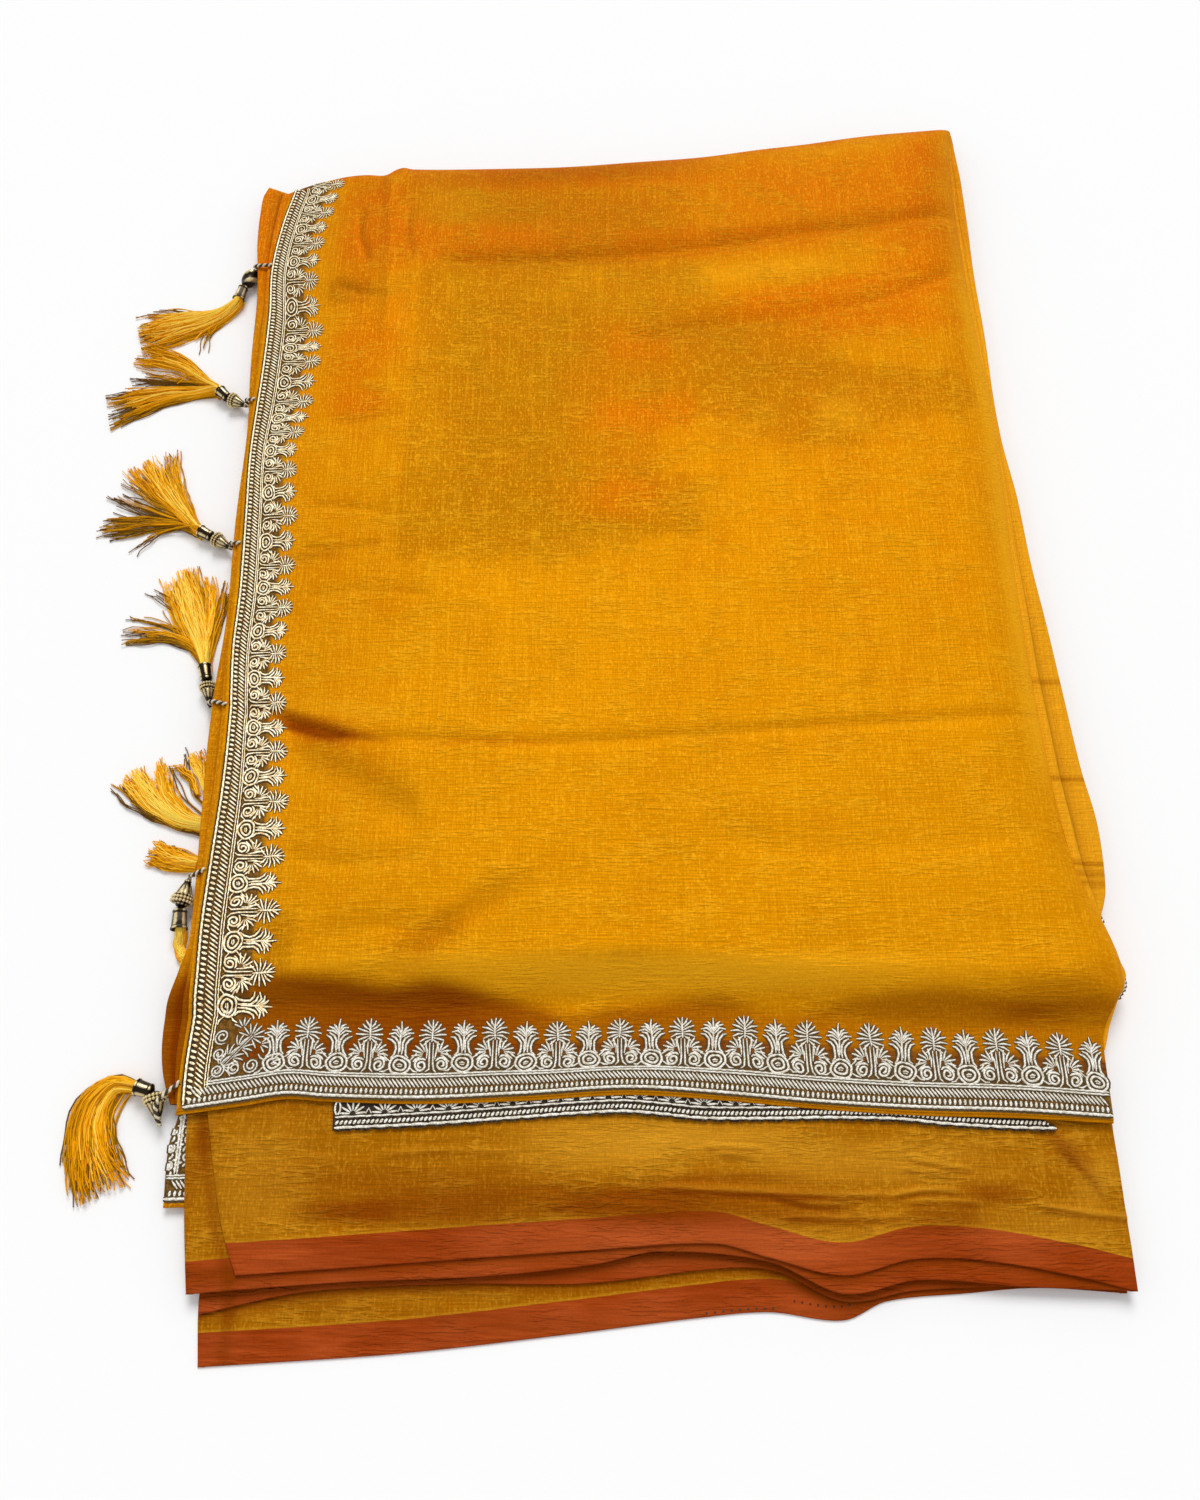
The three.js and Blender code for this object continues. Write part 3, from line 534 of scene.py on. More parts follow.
class Finish:
    """A material, built node by node."""

    def __init__(self, name):
        self.material = bpy.data.materials.new(name)
        self.material.use_nodes = True
        self.tree = self.material.node_tree
        self.tree.nodes.clear()

    def node(self, kind, settings=None, sockets=None, out=0):
        """One node: its settings first, then values or links for its sockets."""
        made = self.tree.nodes.new("ShaderNode" + kind)
        for key, value in (settings or {}).items():
            if key == "stops":
                elements = made.color_ramp.elements
                while len(elements) < len(value):
                    elements.new(0.5)
                for element, (position, tint) in zip(elements, value):
                    element.position, element.color = position, (*tint, 1)
            else:
                setattr(made, key, value)
        for key, value in (sockets or {}).items():
            socket = made.inputs[key]
            if isinstance(value, Value):
                self.tree.links.new(value.socket, socket)
            elif isinstance(value, tuple) and socket.type == "RGBA":
                socket.default_value = (*value, 1)
            else:
                socket.default_value = value
        return Value(self, made.outputs[out]) if made.outputs else None

    def mark(self, name):
        """A number stored at each point of the mesh."""
        return self.node("Attribute", {"attribute_name": name}, out="Fac")

    def noise(self, *scales, detail=2.0):
        """Noise over the position on the object, in millimetres, stretched along each axis."""
        position = self.node("TexCoord", out="Object")
        scale = tuple(s / MM for s in scales)
        place = self.node("VectorMath", {"operation": "MULTIPLY"}, {0: position, 1: scale})
        return self.node("TexNoise", None, {"Vector": place, "Scale": 1.0, "Detail": detail})

    def blend(self, share, first, second):
        """Colour from first to second."""
        return self.node("Mix", {"data_type": "RGBA"}, {0: share, 6: first, 7: second}, out=2)

    def layered(self, tint, *layers):
        """A colour with layers of (share, colour) over it."""
        for share, over in layers:
            tint = self.blend(share, tint, over)
        return tint

    def bump(self, height, distance, strength, **under):
        """A bent normal, over another one where Normal gives it."""
        sockets = {"Height": height, "Distance": distance, "Strength": strength, **under}
        return self.node("Bump", None, sockets)

    def done(self, **sockets):
        """The finished material from the sockets of its Principled shader."""
        names = {key.replace("_", " ").title().replace("Ior", "IOR"): value
                 for key, value in sockets.items()}
        shader = self.node("BsdfPrincipled", None, names)
        self.node("OutputMaterial", None, {"Surface": shader})
        return self.material


def colour(code):
    """Linear colour from a six-figure code."""
    parts = [int(code[i:i + 2], 16) / 255 for i in (0, 2, 4)]
    return tuple(c / 12.92 if c <= 0.04045 else ((c + 0.055) / 1.055) ** 2.4 for c in parts)


GOLD, GOLD_LIGHT, GOLD_DEEP = colour("D98C03"), colour("F2AC19"), colour("C37802")
# The dark brown here is the colour of the cloth's painted shade.
OLIVE, EMBER, SHADE_BROWN = colour("B27004"), colour("D46A02"), colour("803703")
GROUND = colour("7C5A2E")
RED, RED_LIGHT, RED_DEEP = colour("9E3E0E"), colour("BC5626"), colour("742606")


def slubbed_silk(name, ground=GOLD, light=GOLD_LIGHT, deep=GOLD_DEEP, crinkled=0.3, selvedge=False):
    """Hand-woven silk with thick and thin threads, painted light and shade, and a red selvedge where asked
    for.
    """
    silk = Finish(name)
    weft, warp = silk.noise(0.07, 1.0, 0.5), silk.noise(1.0, 0.04, 0.5)
    fleck = silk.noise(0.95, 0.5, 0.8, detail=1.0)
    broad = silk.noise(0.022, 0.03, 0.03)
    blocks = silk.noise(0.02, 0.07, 0.04) + silk.noise(0.07, 0.02, 0.04) - 1.0
    creped = silk.noise(0.06, 0.4, 0.3).near(0.5, 11).over(0.0, 0.8)
    creped = creped * silk.noise(0.04, 0.07, 0.1, detail=1.0).over(0.45, 0.62) * crinkled
    tint = silk.layered(
        ground,
        (broad.over(0.45, 0.7) * 0.3, deep),
        ((silk.mark("olive") + blocks * 0.5 - 0.04).over(0.0, 1.0), OLIVE),
        # Deep orange: the silk's colour, and painted shade along the end panel's far fold and troughs.
        ((silk.mark("ember") + blocks * 0.4 - 0.03).over(0.0, 1.0), EMBER),
        ((1 - warp.over(0.3, 0.5)) * 0.22 + (1 - weft.over(0.3, 0.5)) * 0.16, deep),
        (warp.over(0.52, 0.7) * 0.26 + weft.over(0.55, 0.72) * 0.15, light),
        (fleck.over(0.54, 0.7) * 0.5, light),
        # Painted light.
        (silk.mark("pale"), light),
        (creped, light),
        # Dark brown within the border.
        (silk.mark("ground"), silk.blend(fleck.over(0.4, 0.6), GROUND, colour("4E3718"))),
    )
    rough = 0.4 + weft * 0.16
    if selvedge:
        tint, rough = red_edge(silk, tint, weft, broad, rough)
    # Painted shade, towards a dark brown.
    tint = silk.blend(silk.mark("shade") * (0.85 + 0.3 * weft), tint, SHADE_BROWN)
    threads = silk.bump(weft + warp + creped * 2, 0.0005, 0.7)
    slubs = silk.bump(fleck, 0.0004, 0.6, Normal=threads)
    return silk.done(base_color=tint, roughness=rough, normal=slubs, metallic=0.18,
                     specular_ior_level=0.0)


def red_edge(silk, tint, weft, broad, rough):
    """Brick red band along the near edge, with a fine golden line where it begins."""
    depth = silk.mark("depth") + (weft - 0.5) * 0.5
    wrinkle = silk.noise(0.02, 0.3, 0.3)
    red = silk.layered(
        RED,
        (broad.over(0.4, 0.62) * 0.5 + weft.over(0.45, 0.7) * 0.25, RED_LIGHT),
        # Darker threads, and painted shade in fine wrinkles.
        ((1 - weft.over(0.3, 0.5)) * 0.2 + (1 - wrinkle.over(0.35, 0.55)) * 0.25, RED_DEEP),
        (wrinkle.near(0.5, 12).over(0.0, 0.9) * 0.2, RED_DEEP),
        # Painted light.
        (silk.mark("pale") * 0.9, colour("C86430")),
    )
    line = depth.over(SELVEDGE - 0.2, SELVEDGE) * (1 - depth.over(SELVEDGE + 0.6, SELVEDGE + 1.1))
    band = 1 - depth.over(SELVEDGE - 0.25, SELVEDGE + 0.05)
    tint = silk.layered(tint, (line * 0.4, colour("CF9420")), (band, red))
    return tint, rough + band * 0.15


def silver_thread(name, ground, dull=colour("DCD4C0"), bright=colour("FFFDF4"), painted_glow=0.08):
    """Metal thread twisted round a core and couched down, dark at its foot, with painted glints and glow.
    """
    zari = Finish(name)
    side = zari.mark("side")
    twist = (zari.mark("run") * 5.2 + side * 1.6).wave() * 0.5 + 0.5
    side = side.size()
    foot = side.over(0.95, 1.12)
    glints_and_speckle = zari.noise(0.8, 0.8, 0.5)
    # Painted glints in patches, darker in the twist's grooves and dark towards the sides.
    silver = zari.layered(dull, (glints_and_speckle.over(0.42, 0.56), bright), ((1 - twist) * 0.2, colour("8C7E62")),
                          (side.over(0.88, 1.08) * 0.85, colour("382812")))
    dark = zari.blend(glints_and_speckle.over(0.45, 0.6) * 0.5, ground, colour("6E552E"))
    # The foot is dark brown, lighter in patches; the thread has a faint painted glow.
    return zari.done(base_color=zari.blend(foot, silver, dark), metallic=(1 - foot) * 0.1,
                     roughness=0.36 + foot * 0.4, normal=zari.bump(twist, 0.0003, 0.6),
                     specular_ior_level=0.25, emission_strength=painted_glow,
                     emission_color=zari.blend(foot, silver, (0, 0, 0)))


def tassel_silk(name):
    """Loose floss threads from brown, partly their own and partly painted shade, to bright yellow, with a
    faint painted glow.
    """
    floss = Finish(name)
    stops = [(0.0, colour("6E4C1C")), (0.2, colour("B8820F")), (0.45, colour("E89E0C")),
             (0.7, colour("FCBA20")), (1.0, colour("FFDC5C"))]
    tint = floss.node("ValToRGB", {"stops": stops}, {0: floss.mark("tone")})
    # The faint glow in the threads' own colour is painted light.
    return floss.done(base_color=tint, roughness=0.4, specular_ior_level=0.1, specular_tint=GOLD_LIGHT,
                      emission_color=tint, emission_strength=0.12)


def old_gold(name):
    """Antiqued metal: dark patina in its hollows, polished on its high spots, which carry painted
    highlights.
    """
    metal = Finish(name)
    grime = metal.noise(0.9, 0.9, 0.9, detail=3.0)
    # Polish with painted highlights, broken up by grime.
    high = metal.mark("high") + (grime - 0.5) * 0.5
    tint = metal.blend(high.over(0.3, 0.75), colour("281A0A"), colour("F2DDA8"))
    return metal.done(base_color=tint, metallic=0.5, roughness=0.24 + grime * 0.15,
                      normal=metal.bump(grime, 0.0001, 0.3), specular_ior_level=0.3)


def twisted_yarn(name):
    """The cream and dark yarns that the tassels hang by."""
    yarn = Finish(name)
    tint = yarn.blend(yarn.mark("tone"), colour("3A2814"), colour("E4D6B4"))
    ply = (yarn.mark("run") * 6.0).wave()
    return yarn.done(base_color=tint, roughness=0.6, normal=yarn.bump(ply, 0.0002, 0.5))


def black_backing(name):
    """The dark cloth behind the embroidery, seen on its reverse."""
    cloth = Finish(name)
    grain = cloth.noise(1.5, 1.5, 1.0)
    tint = cloth.blend(grain, colour("1C120A"), colour("3A2A1A"))
    return cloth.done(base_color=tint, roughness=0.85, normal=cloth.bump(grain, 0.0002, 0.5))


PANEL_SILK = slubbed_silk("panel_silk")
# The loose edges' silk: a browner copy of the end panel's, painted shade.
SHADED_BODY_SILK = slubbed_silk("body_silk", colour("A86606"), colour("CF9020"), colour("8C5003"), 0.5, True)
# The folds' silk: a darker copy of the end panel's, painted shade.
SHADED_FOLD_SILK = slubbed_silk("fold_silk", colour("C87C06"), colour("F0A81E"), colour("A25E03"), 0.2)
SILVER = silver_thread("silver_thread", colour("54401F"))
# The end border's thread: warmer, with a stronger painted glow.
END_SILVER = silver_thread("warm_zari", colour("33240B"), colour("E0C08A"), colour("FFF9DC"), 0.45)
SILVER_ON_BLACK = silver_thread("silver_on_black", colour("20160C"))
FLOSS = tassel_silk("tassel_floss")
METAL = old_gold("old_gold")
YARN = twisted_yarn("twisted_yarn")
BACKING = black_backing("black_backing")


# ---------------------------------------------------------------- the end panel's front half
# Patches over the end panel: place, reach, strength, and turn in degrees where there is one.
# Olive: uneven colour of the silk.
OLIVE_PATCHES = [
    (-52, 258, 40, 28, 0.4), (14, 258, 36, 26, 0.35), (60, 212, 56, 22, 0.25),
    (-78, 160, 54, 135, 0.65), (-52, 172, 42, 34, 0.55), (-62, 98, 28, 38, 0.7),
    (-8, 122, 34, 78, 0.65), (65, 148, 52, 36, 0.9, -6), (142, 136, 54, 20, 0.9),
    (90, 192, 94, 16, 0.6, 8), (16, 216, 36, 20, 0.4), (-4, 278, 46, 28, 0.6),
    (-100, 290, 60, 22, 0.6), (-162, 216, 15, 13, 0.8), (-70, 50, 60, 28, 0.45),
    (14, 58, 34, 22, 0.55), (110, 106, 34, 12, 0.55), (-164, -176, 12, 16, 0.9),
    (-12, -186, 34, 9, 0.45), (-96, -176, 22, 7, 0.45),
]
# Deep orange: the silk's colour, and painted shade along troughs, creases and the far fold.
EMBER_PATCHES = [
    (-152, 276, 24, 26, 0.3), (186, 280, 24, 40, 0.35), (-150, -70, 18, 8, 0.4),
    (-101, 249, 64, 15, 0.6), (-149, 262, 22, 46, 0.5), (-142, 180, 24, 26, 0.3),
    (55, 251, 68, 12, 0.55, 5), (60, 292, 180, 42, 0.38, 6), (140, 292, 60, 30, 0.3, 10),
    (117, 209, 66, 11, 0.8, 12), (140, 192, 50, 16, 0.55, 8), (172, 240, 26, 30, 0.5),
    (5, 118, 34, 70, 0.3), (7, 172, 18, 18, 0.3), (6, 119, 36, 12, 0.4, 8), (-8, 64, 28, 14, 0.35),
    (-154, 155, 18, 34, 0.35), (-146, 128, 18, 8, 0.4), (-150, 60, 38, 250, 0.2),
    (150, 130, 110, 170, 0.22), (-30, 306, 90, 10, 0.5, 3), (190, 330, 16, 20, 0.5),
    (-86, -170, 26, 12, 0.3, 40), (-64, -79, 34, 3, 0.4), (-155, -69, 26, 5, 0.6, -20),
    (0, 200, 230, 150, 0.1),
]
# Painted shade, darkest in the pressed wedge by the left border.
SHADE_PATCHES = [
    (20, 140, 120, 66, 0.05), (-30, 264, 76, 40, 0.08), (80, 176, 112, 30, 0.09),
    (10, 282, 240, 64, 0.17, 3), (-157, -68.6, 20, 4.4, 1.0, -20), (-134, -74, 16, 2, 0.5, -14),
    (-40, 308, 85, 12, 0.2, 4), (-162, 31, 14, 3, 0.32), (-162, 218, 14, 4, 0.12, -10),
    (-22, 311, 62, 9, 0.14, 5), (190, -198, 30, 9, 0.35, 10),
]
# Painted light, brightest in front of the slope behind the near border.
PAINTED_LIGHT_PATCHES = [
    (20, -190, 112, 8, 0.75), (81, 227, 40, 7, 0.3, 6), (-105, 284, 25, 16, 0.15),
    (117, 120, 14, 12, 0.25), (-140, -60, 30, 5, 0.2, -10), (-110, -186, 50, 5, 0.2),
]
# Where the painted shade on the slope behind the near border ends, and how dark it is.
SLOPE_TOP = through(
    (-170, -190), (-152, -190), (-130, -192), (-108, -195), (-87, -193), (-55, -200), (-38, -204),
    (-29, -206), (-12, -203.5), (6, -202), (38, -199), (55, -204), (73, -206), (95, -201), (117, -198),
    (139, -197), (160, -200), (182, -202), (208, -201),
)
SLOPE_SHADE = through(
    (-170, 0.82), (-80, 0.92), (-40, 0.75), (-26, 0.58), (-5, 0.72), (30, 0.68), (60, 0.56), (120, 0.5),
    (150, 0.52), (208, 0.5),
)
# Where the grid's last rows and columns lie on the far and right folds, as distances from the edge.
ROLL_STEPS = (26, 22, 18, 14.5, 11.5, 9, 7, 5, 3.5, 2.2, 1.2, 0.5, 0.12, 0)


def blotched(x, marks, edge=0.45, firm=0.45):
    """The same marks with a firmer edge, which runs out thread by thread along the warp."""
    threads = 0.07 * np.sin(x / 2.3 + 1.7 * np.sin(x / 11)) + 0.06 * np.sin(x / 6.1 + 2)
    return mix(marks, ease((marks + threads - edge) / 0.14 + 0.5), firm)


def end_panel():
    """The end panel's front half, hemmed on the left and near sides and folded on the others."""
    columns = (spread((0, HEM), (0, 34), 18) + spread((0, 34), (1, -RIGHT_EASE), 172)[1:]
               + [(1, -distance) for distance in ROLL_STEPS])
    rows = (spread((0, HEM), (0, NEAR_EASE), 34) + spread((0, NEAR_EASE), (1, -FAR_EASE), 245)[1:]
            + [(1, -distance * FAR_EASE / RIGHT_EASE) for distance in ROLL_STEPS])
    points, x, y = PANEL.covered(columns, rows, panel_height, near=DOUBLE_HEM, left=HEM_ROLL,
                                 far=FOLD_ROLL, right=FOLD_ROLL)
    near_depth, end_depth = (y - NEAR_RAIL(x)) / NEAR_DEPTH(x), (x - END_RAIL(y)) / END_DEPTH(y)
    depth = np.minimum(near_depth, end_depth)
    ground = (depth > -0.7) * (1 - ease((depth - GROUND_DEPTH) / 2 + 0.5))
    # Painted shade: on the slope behind the near border, on the troughs' far walls, in patches, on the
    # hem's margin and along the far fold, there also in deep orange. Painted light: along the right fold
    # and in patches.
    slope = ease((near_depth - 8) / 12) * (1 - ease((y - SLOPE_TOP(x)) / 9 + 0.5))
    slope = slope * ease((end_depth - 16) / 10)
    from_far = PANEL.far(x) - y
    far_rim = 0.3 * (1 - ease(from_far / 3))
    shade = summed(x, y, SHADE_PATCHES) + troughs(x, y)[1] + SLOPE_SHADE(x) * slope + far_rim
    right_rim = 0.6 * (1 - ease((PANEL.right(y) - x - 3) / 12)) * ease((y + 120) / 50)
    ember = blotched(x + 40, summed(x, y, EMBER_PATCHES), 0.5, 0.15)
    marks = {
        "olive": blotched(x, summed(x, y, OLIVE_PATCHES)),
        "ember": ember + 0.8 * (1 - ease(from_far / 14)),
        "pale": summed(x, y, PAINTED_LIGHT_PATCHES) + right_rim * (1 - 0.6 * ease((y - 180) / 80)),
        "shade": np.clip(shade + 0.35 * (near_depth < -0.7), 0, 0.95),
        "ground": 0.92 * ground,
    }
    add_cloth("end_panel", points, PANEL_SILK, marks, ["end_panel_front"])


# ---------------------------------------------------------------- embroidery
def around(centre, angle, across, deep):
    """Points round a centre, at angles in radians from the depth axis."""
    return np.column_stack([centre[0] + across * np.sin(angle), centre[1] + deep * np.cos(angle)])


def oval(centre, radii, count):
    return around(centre, np.radians(np.linspace(0, 360, count)), *radii)


def petals(centre, inner, outer, angles, bend=0.0):
    """Short threads that fan out from a centre."""
    reach = np.linspace(inner, outer, 4)
    swing = bend * (reach - inner) / (outer - inner)
    return [around(centre, angle + swing, reach, reach) for angle in np.radians(angles)]


def spiral(centre, outer, start, turns, count):
    """A thread that winds in towards a centre."""
    reach = np.linspace(outer, outer * 0.22, count)
    return around(centre, np.radians(np.linspace(start, start + 360 * turns, count)), reach, reach)


def mirrored(lines):
    return lines + [np.array(line) * (-1, 1) for line in lines]


def sized(lines, width, taper=0.0):
    return [(np.asarray(line, float), width, taper) for line in lines]


def palmette():
    """A feathery flower on a double stem over two scrolls: (along, depth) lines with their widths."""
    scroll = [spiral((4.5, 13.3), 3.0, -50, 1.7, 26)]
    leaf = petals((3.0, 17.8), 1.0, 5.7, (-14, 11, 36, 61, 86, 111), 0.2)
    stem = [[(2.4, 10.3), (1.0, 11.5), (0.8, 14.5), (0.8, 23.0)],
            [(1.8, 16.0), (2.0, 19.4), (2.6, 22.0)]]
    feather = [
        [(0.3, 29.0), (1.4, 30.6), (2.2, 32.3)],
        [(0.4, 27.9), (2.3, 29.3), (3.9, 30.9)],
        [(0.4, 26.9), (2.9, 28.0), (5.5, 28.7)],
        [(0.4, 26.0), (3.1, 26.3), (6.0, 26.1)],
        [(0.4, 25.2), (2.8, 24.7), (5.3, 23.6)],
        [(0.4, 24.4), (1.9, 23.3), (3.6, 21.8)],
    ]
    spine = [[(0, 23.2), (0, 28.0), (0, 32.9)]]
    return (sized(mirrored(scroll), 1.0) + sized(mirrored(leaf), 1.05, 0.4)
            + sized(mirrored(stem), 0.85) + sized(mirrored(feather), 1.1, 0.4) + sized(spine, 1.0))


def column():
    """A flared pillar with a fan on top, on a filled roundel."""
    rings = [oval((0, 13.5), (4.5, 3.8), 26), oval((0, 13.5), (2.7, 2.2), 18)]
    heart = [[(-1.2, 13.5), (0, 13.9), (1.2, 13.5)], [(-0.9, 12.9), (0.9, 12.9)]]
    side = [[(3.9, 16.6), (2.5, 18.0), (2.1, 20.3), (2.4, 22.6), (3.9, 24.4), (5.7, 25.0)],
            [(0.7, 17.9), (0.75, 20.5), (0.9, 23.0), (2.2, 25.2), (4.2, 26.3)]]
    fan = [[(0.3, 25.2), (2.8, 27.3), (5.5, 27.0)], [(0.3, 26.0), (2.2, 28.4), (4.3, 28.9)],
           [(0.2, 26.8), (1.4, 29.1), (2.7, 30.2)]]
    spike = [[(0, 19.0), (0, 25.5), (0, 29.0), (0, 32.2)]]
    link = [[(4.6, 12.2), (6.4, 10.7), (8.2, 10.6)], [(4.4, 15.4), (6.0, 16.6), (7.4, 18.6)]]
    return (sized(rings, 1.05) + sized(heart, 0.95) + sized(mirrored(side), 0.95)
            + sized(mirrored(fan), 1.15, 0.3) + sized(spike, 0.9) + sized(mirrored(link), 0.85))


def corner_spray():
    """The leafy diagonal flower and scrolls of the mitred corner, as insets from the two rails."""
    diagonal = [[(-0.5, 14), (-0.5, 38)], [(0.5, 14), (0.5, 38)]]
    for reach in (21.0, 26.0, 31.0):
        for way in (1, -1):
            diagonal += petals((0.8 * way, reach), 0.9, 5.4, (14 * way, 44 * way, 74 * way), 0.3)
    diagonal += petals((0, 37.0), 1.4, 6.0, range(-108, 109, 27))
    half = math.sqrt(0.5)
    lines = [np.column_stack([(d + a) * half, (d - a) * half]) for a, d in map(np.transpose, diagonal)]
    side = petals((22.4, 30.4), 1.2, 4.8, (-60, -30, 0, 30))
    side += petals((13.6, 36.0), 1.2, 5.0, (-20, 10, 40, 70))
    side += [spiral((13.4, 20.6), 3.0, 60, 1.8, 24), spiral((13.6, 28.0), 3.4, 150, 1.8, 24)]
    both = side + [line[:, ::-1] for line in side] + [spiral((13.4, 13.4), 3.2, 20, 1.8, 24)]
    return sized(lines, 0.75, 0.3) + sized(both, 0.75, 0.2)


def near_point(at, depth):
    """From places along and depths into the side border, on the near side, to the plan."""
    return np.column_stack([at, NEAR_RAIL(at) + depth * NEAR_DEPTH(at)])


def end_point(at, depth):
    """From places along and depths into the end border, on the left, to the plan."""
    return np.column_stack([END_RAIL(at) + depth * END_DEPTH(at), at])


def bands(work, point, start, end, inner_start, pearl_lean, pitch, weight=1.0):
    """The rails, pearls and twill that run along a hem."""
    rails = [(0, 1.15, 0.7, start)] + [(depth, 0.75 * weight, 0.5, inner_start) for depth in INNER_RAILS]
    for depth, width, rise, first in rails:
        at = np.arange(first, end, RAIL_STEP)
        work.lay(point(at, depth + 0.12 * np.sin(at * 1.9)), width * weight, rise)
    lean = np.array([-0.5, 0.0, 0.5])
    for at in np.arange(start + 2.5, end - 1, pitch * 1.2):
        work.lay(point(at + lean * pearl_lean, np.linspace(*PEARLS, 3)), pitch * 0.72 * weight, 0.85)
    for at in np.arange(start + 4, end - 2, pitch):
        work.lay(point(at - lean * 2.8, np.linspace(*TWILL, 3)), pitch * 0.5 * weight, 0.5)


def motifs(work, point, count, place_at, inside, weight=lambda at: 0.92):
    """Flowers at numbered places along a border, and pillars half way between them."""
    for kind, before in ((palmette(), 0), (column(), 0.5)):
        for number in np.arange(count) - before:
            thick = float(weight(place_at(number)))
            for line, width, taper in kind:
                u, v = line.T
                u = u + 0.22 * np.sin(v * 0.8 + number * 2.3) + 0.1 * np.sin(v * 2.1 + number)
                v = v + 0.22 * np.sin(u * 0.9 + number * 1.7) + 0.3 * math.sin(number * 2.9)
                plan = point(place_at(number + u / REPEAT), v)
                work.lay_inside(plan, inside, width * thick, taper=taper)


def side_border():
    """Embroidery along the side hem, on the near side, with the mitred corner."""
    work = Needlework()
    corner = float(END_RAIL(-244.0))
    end = float(PANEL.right(-245.0)) - 0.1
    bands(work, near_point, corner, end, corner + INNER_RAILS[0], 0.2, 1.8)
    motifs(work, near_point, 14, lambda number: REPEAT * number - 143.2,
           lambda plan: plan[:, 0] < PANEL.right(plan[:, 1]) - 0.3)
    for line, width, taper in corner_spray():
        y = NEAR_RAIL(corner + line[:, 0]) + line[:, 1]
        work.lay(np.column_stack([END_RAIL(y) + line[:, 0], y]), width, taper=taper)
    work.raised("side_border", panel_height, SILVER, "silver_embroidery", ["side_border_front"])


def end_border():
    """Embroidery along the end hem, on the left, up to the far fold."""
    work = Needlework()
    corner = float(NEAR_RAIL(-194.0))
    weight = through((-247, 0.9), (-60, 0.8), (100, 0.7), (300, 0.6))
    bands(work, end_point, corner + 1, 306, corner + INNER_RAILS[0], -0.9, 2.1, 0.82)
    motifs(work, end_point, 20, END_PLACES,
           lambda plan: plan[:, 1] < PANEL.far(plan[:, 0]) - 0.8, weight)
    work.raised("end_border", panel_height, END_SILVER, "silver_embroidery", ["end_border_front"])


# ---------------------------------------------------------------- loose edges of the body cloth
# Painted shade and painted light on the loose edges: place, reach, strength, and turn in degrees where
# there is one.
LOOSE_SHADE = [
    (-122, -288, 19, 4.5, 0.75), (-82, -287, 32, 7, 0.7), (-14, -285, 36, 7, 0.7),
    (-93, -276, 56, 6, 0.4), (36, -286, 46, 8, 0.6), (38, -275, 28, 2.5, 0.45),
    (128, -291, 16, 5, 0.6), (149, -281, 13, 4, 0.6), (180, -260, 14, 4, 0.4, -42),
    (84, -293, 26, 5, 0.25), (-60, -330, 120, 4, 0.2, -4), (-186, -266, 5, 30, 0.35, -14),
]
LOOSE_PAINTED_LIGHT = [
    (24, -299, 84, 9, 0.45), (30, -327, 90, 6, 0.2, 3), (-14, -261, 34, 11, 0.65),
    (34, -259, 34, 7, 0.6), (96, -268, 48, 9, 0.45), (-158, -274, 20, 22, 0.3),
    (194, -276, 6, 14, 0.45, -42), (170, -294, 34, 7, 0.25), (-120, -318, 60, 5, 0.3, 4),
]


def loose_edge(name):
    """One loose edge of the body cloth with its red selvedge."""
    level, outline = LOOSE_EDGES[name]
    points, x, y = outline.covered(spread((0, HEM), (1, -HEM), 210), spread((0, HEM), (1, 0), 86),
                                   loose_height(level), near=HEM_ROLL, left=HEM_ROLL, right=HEM_ROLL)
    topmost = level == LOOSE_EDGES["upper"][0]
    # Painted shade beside the upper edge's left side, under each higher hem, where the edges go under the
    # end panel, beside the ridges and in patches; painted light on the ridges and in patches.
    edge_shadow = 0.5 * (1 - ease((np.abs(x - LOOSE_EDGES["upper"][1].left(y) + 3) / 5)))
    shade = summed(x, y, LOOSE_SHADE) + edge_shadow * (not topmost) + 0.25 * ease((y + 250) / 8)
    shade = shade + 0.45 * loose_ridges(x, y, 1.5, 1.2) * topmost
    for above, cover in LOOSE_EDGES.values():
        if above > level:
            shade = shade + 0.6 * np.exp(-(((cover.near(x) - y) / 4) ** 2))
    pale = summed(x, y, LOOSE_PAINTED_LIGHT) + 0.7 * loose_ridges(x, y, -0.4, 0.7) * topmost
    marks = {"depth": y - outline.near(x), "shade": np.clip(shade, 0, 0.85),
             "pale": np.clip(pale, 0, 1), "olive": patch(x, y, 60, -262, 140, 10, 0.3)}
    length = float(outline.near(0.0) * -1 - 222) * MM
    add_cloth(f"loose_edge_{name}", points, SHADED_BODY_SILK, marks,
              [f"body_edge_{name}", f"selvedge_{name}"])


def selvedge_stitches():
    """Pale stitches along the selvedges' edges, and the pricks left by the weaver's stretcher."""
    pale, dark = Needlework(), Needlework()
    for work, name, start, end, step, inset, length in (
            (pale, "upper", -162, -52, 1.7, 0.9, 0.7), (pale, "second", -50, 22, 1.7, 0.9, 0.7),
            (pale, "upper", 92, 150, 1.7, 0.9, 0.7), (pale, "lowest", 28, 58, 3.4, 1.4, 0.7),
            (dark, "lowest", 64, 90, 3.2, 5.2, 0.6), (dark, "upper", 60, 200, 8.6, 6.0, 0.6)):
        level, outline = LOOSE_EDGES[name]
        for at in np.arange(start, end, step):
            places = np.array([at, at + length])
            work.lay(np.column_stack([places, outline.near(places) + inset]), 0.6, 0.2 + level * LAYER)

    def base(x, y):
        return CLOTH + 0 * x

    pale.raised("picot_stitches", base, YARN, "gold_silk")
    dark.raised("stretcher_pricks", base, BACKING, "gold_silk")


